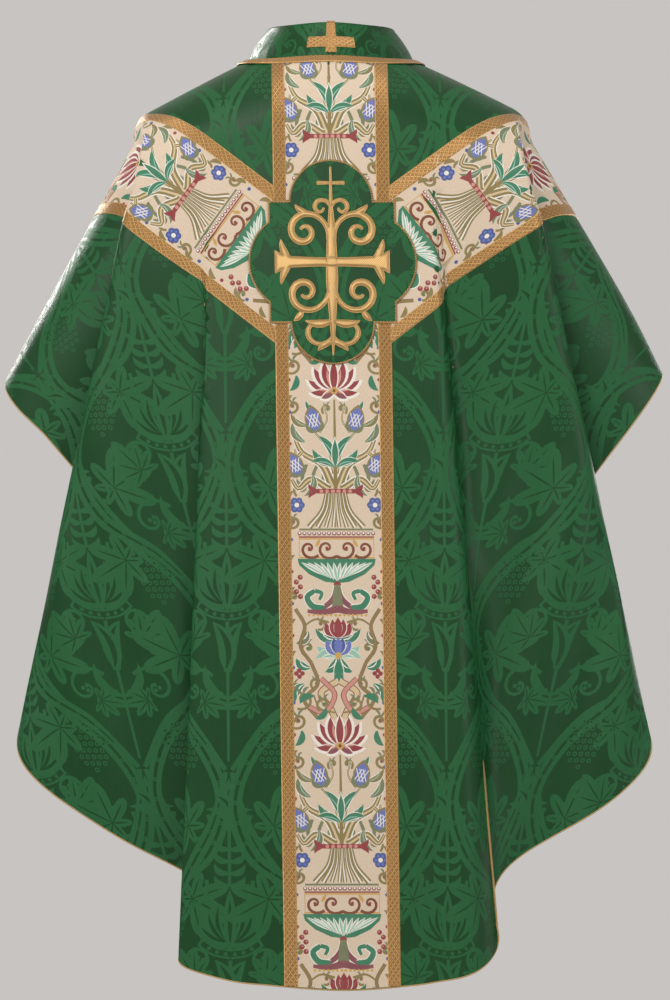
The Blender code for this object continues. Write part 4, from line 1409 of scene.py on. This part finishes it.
def collar_place(flat, above):
    """Places points of the collar: `u` round from the back centre, `v` up; over 1 rolls inside."""
    ring, reach = collar_base()
    base = np.stack([np.interp(flat[:, 0], reach, ring[:, i]) for i in range(3)], axis=1)
    middle = np.array((ring[:, 0].mean(), 0, 0))
    weight = smooth((NECK_HALF - base[:, 1]) / (2 * NECK_HALF))
    tall = COLLAR_HEIGHT["front"] + weight * (COLLAR_HEIGHT["back"] - COLLAR_HEIGHT["front"])
    v = flat[:, 1]
    s = np.clip(v, 0, 1)[:, None]
    taper = 1 + (np.array((*COLLAR_TAPER, 1.0)) - 1) * s**1.4
    points = (base - middle) * taper + middle
    points[:, 2] += tall * s[:, 0] - COLLAR_SINK
    out = (base - middle) * (1, 1, 0)
    out /= np.linalg.norm(out, axis=1)[:, None]
    out[:, 2] = 0.30
    out /= np.linalg.norm(out, axis=1)[:, None]
    roll = np.clip(v - 1, 0, 1)[:, None] * pi
    up = np.array((0.0, 0.0, 1.0))
    points = points + COLLAR_ROLL * ((np.cos(roll) - 1) * out + np.sin(roll) * up)
    direction = np.cos(roll) * out + np.sin(roll) * up
    return points + direction * above, direction


def build_collar(materials):
    """Collar silk rolled over its top edge, the canvas inside it, its lining and its cross."""
    _, reach = collar_base()
    half, tall = reach[-1], COLLAR_HEIGHT["back"]
    u = np.linspace(-half, half, 320)
    v = np.concatenate([np.linspace(0, 1, 14), 1 + np.linspace(0.15, 1, 6)])
    outline = np.array([(-half, 0), (half, 0), (half, 1.999), (-half, 1.999)])
    design = [
        (shape * (COLLAR_FIGURE, COLLAR_FIGURE / tall) + (0, 0.2), tone)
        for shape, tone in damask_design((-0.35, -0.10), (0.35, 0.12))
    ]
    extra = np.stack(np.meshgrid(u, v), axis=-1).reshape(-1, 2)
    flat, faces, last = mosaic(outline, [shape for shape, _ in design], extra)
    tones = np.array([tone for _, tone in design] + [0.0])
    points, out = collar_place(flat, 0.0008)
    uv = flat * (1, tall)
    silk = make_mesh("collar_silk", points, faces, out, uv, tone=tones[last])
    if against(points, faces, out):
        silk.data.flip_normals()
    finish_piece(silk, materials["silk"], "green_silk", "collar_outer")

    inner_v = np.linspace(0, 1, 10)
    grid = np.stack(np.meshgrid(u, inner_v), axis=-1)
    index = np.arange(grid[..., 0].size).reshape(grid.shape[:2])
    quads = np.stack([index[:-1, :-1], index[:-1, 1:], index[1:, 1:], index[1:, :-1]], axis=-1)
    quads = quads.reshape(-1, 4)
    points, out = collar_place(grid.reshape(-1, 2), -0.0026)
    if against(points, quads, -out):
        quads = quads[:, ::-1]
    lining = make_mesh("collar_satin_lining", points, quads, None, grid.reshape(-1, 2) * (1, tall))
    finish_piece(lining, materials["lining"], "gold_lining", "collar_inner")
    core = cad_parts["collar_core"]
    core.data.materials.clear()
    core.data.materials.append(materials["canvas"])

    low, high = CROSS_ARM[1], CROSS_ARM[2]

    def upright(flat, above):
        return collar_place(flat[:, ::-1] * (1, 1 / tall), above)

    def level(flat, above):
        return collar_place(flat * (1, 1 / tall), above)

    line = np.array([(0.004, 0.0), (1.55 * tall, 0.0)])
    braid_strip("collar_cross_upright", line, CROSS_BAR, upright, materials["braid"], 0.0019,
                "collar_cross")  # fmt: skip
    at = tall * (low + high) / 2
    line = np.array([(-CROSS_ARM[0], at), (CROSS_ARM[0], at)])
    braid_strip("collar_cross_bar", line, 0.0155, level, materials["braid"], 0.0024)


# ---------------------------------------------------------------- stage


def area_light(name, place, target, size, energy, colour=(1, 1, 1)):
    data = bpy.data.lights.new(name, "AREA")
    data.shape, data.size, data.energy, data.color = "DISK", size, energy, colour
    lamp = bpy.data.objects.new(name, data)
    lamp.location = place
    direction = Vector(np.subtract(target, place))
    lamp.rotation_euler = direction.to_track_quat("-Z", "Y").to_euler()
    bpy.context.scene.collection.objects.link(lamp)


def build_stage():
    """A round pale floor, soft lights all round and the camera."""
    radius, level, corners = 0.64, -1.42, 64
    t = np.linspace(0, 2 * pi, corners, endpoint=False)
    points = np.stack([radius * np.cos(t), radius * np.sin(t), np.full(corners, level)], axis=1)
    floor = make_mesh("studio_floor", points, np.arange(corners)[None])
    material, _, shader = new_material("studio_paper", 0.9, specular=0.2)
    shader.inputs["Base Color"].default_value = (0.62, 0.59, 0.56, 1)
    floor.data.materials.append(material)

    area_light("key", (-1.3, -2.6, 0.9), (0, 0, -0.5), 1.2, 62, (1.0, 0.98, 0.95))
    area_light("fill", (1.9, -2.4, -0.2), (0, 0, -0.6), 1.8, 24, (0.96, 0.98, 1.0))
    area_light("top", (0.0, -0.6, 1.9), (0, 0, -0.3), 1.4, 9)
    area_light("far_side", (-2.1, 2.6, 0.9), (0, 0, -0.5), 1.2, 62, (1.0, 0.98, 0.95))
    area_light("far_fill", (2.3, 2.4, -0.2), (0, 0, -0.6), 1.4, 24, (0.96, 0.98, 1.0))
    world = bpy.data.worlds.new("studio")
    world.use_nodes = True
    world.node_tree.nodes["Background"].inputs["Color"].default_value = (0.96, 0.92, 0.89, 1)
    world.node_tree.nodes["Background"].inputs["Strength"].default_value = 0.60
    bpy.context.scene.world = world

    seen_height, distance, middle = 1.33, 3.3, -0.5985
    data = bpy.data.cameras.new("camera")
    data.lens = data.sensor_width * distance / seen_height
    camera = bpy.data.objects.new("camera", data)
    camera.location = (0, -BODY_DEPTH - distance, middle)
    camera.rotation_euler = (pi / 2, 0, 0)
    bpy.context.scene.collection.objects.link(camera)
    bpy.context.scene.camera = camera
    bpy.context.scene.view_settings.view_transform = "Standard"


materials = {
    "silk": damask_material(),
    "medallion": damask_material("medallion_damask"),
    "seam": lining_material("seam_silk", (0.010, 0.060, 0.020), (0.024, 0.110, 0.042)),
    # The edge cords use a 1.45 times brighter copy of the gold thread: a painted highlight on the
    # raised edges.
    "highlit_edge_gold": gold_thread_material("gold_edge_cord", 1.45),
    "lining": lining_material(),
    "tapestry": tapestry_material(),
    "braid": braid_material(),
    "gold": gold_thread_material(),
    "canvas": canvas_material(),
}
for panel in ("back", "front"):
    build_panel(panel, materials)
    build_orphrey(panel, materials)
build_edges(materials)
build_medallion(materials)
build_collar(materials)
build_stage()
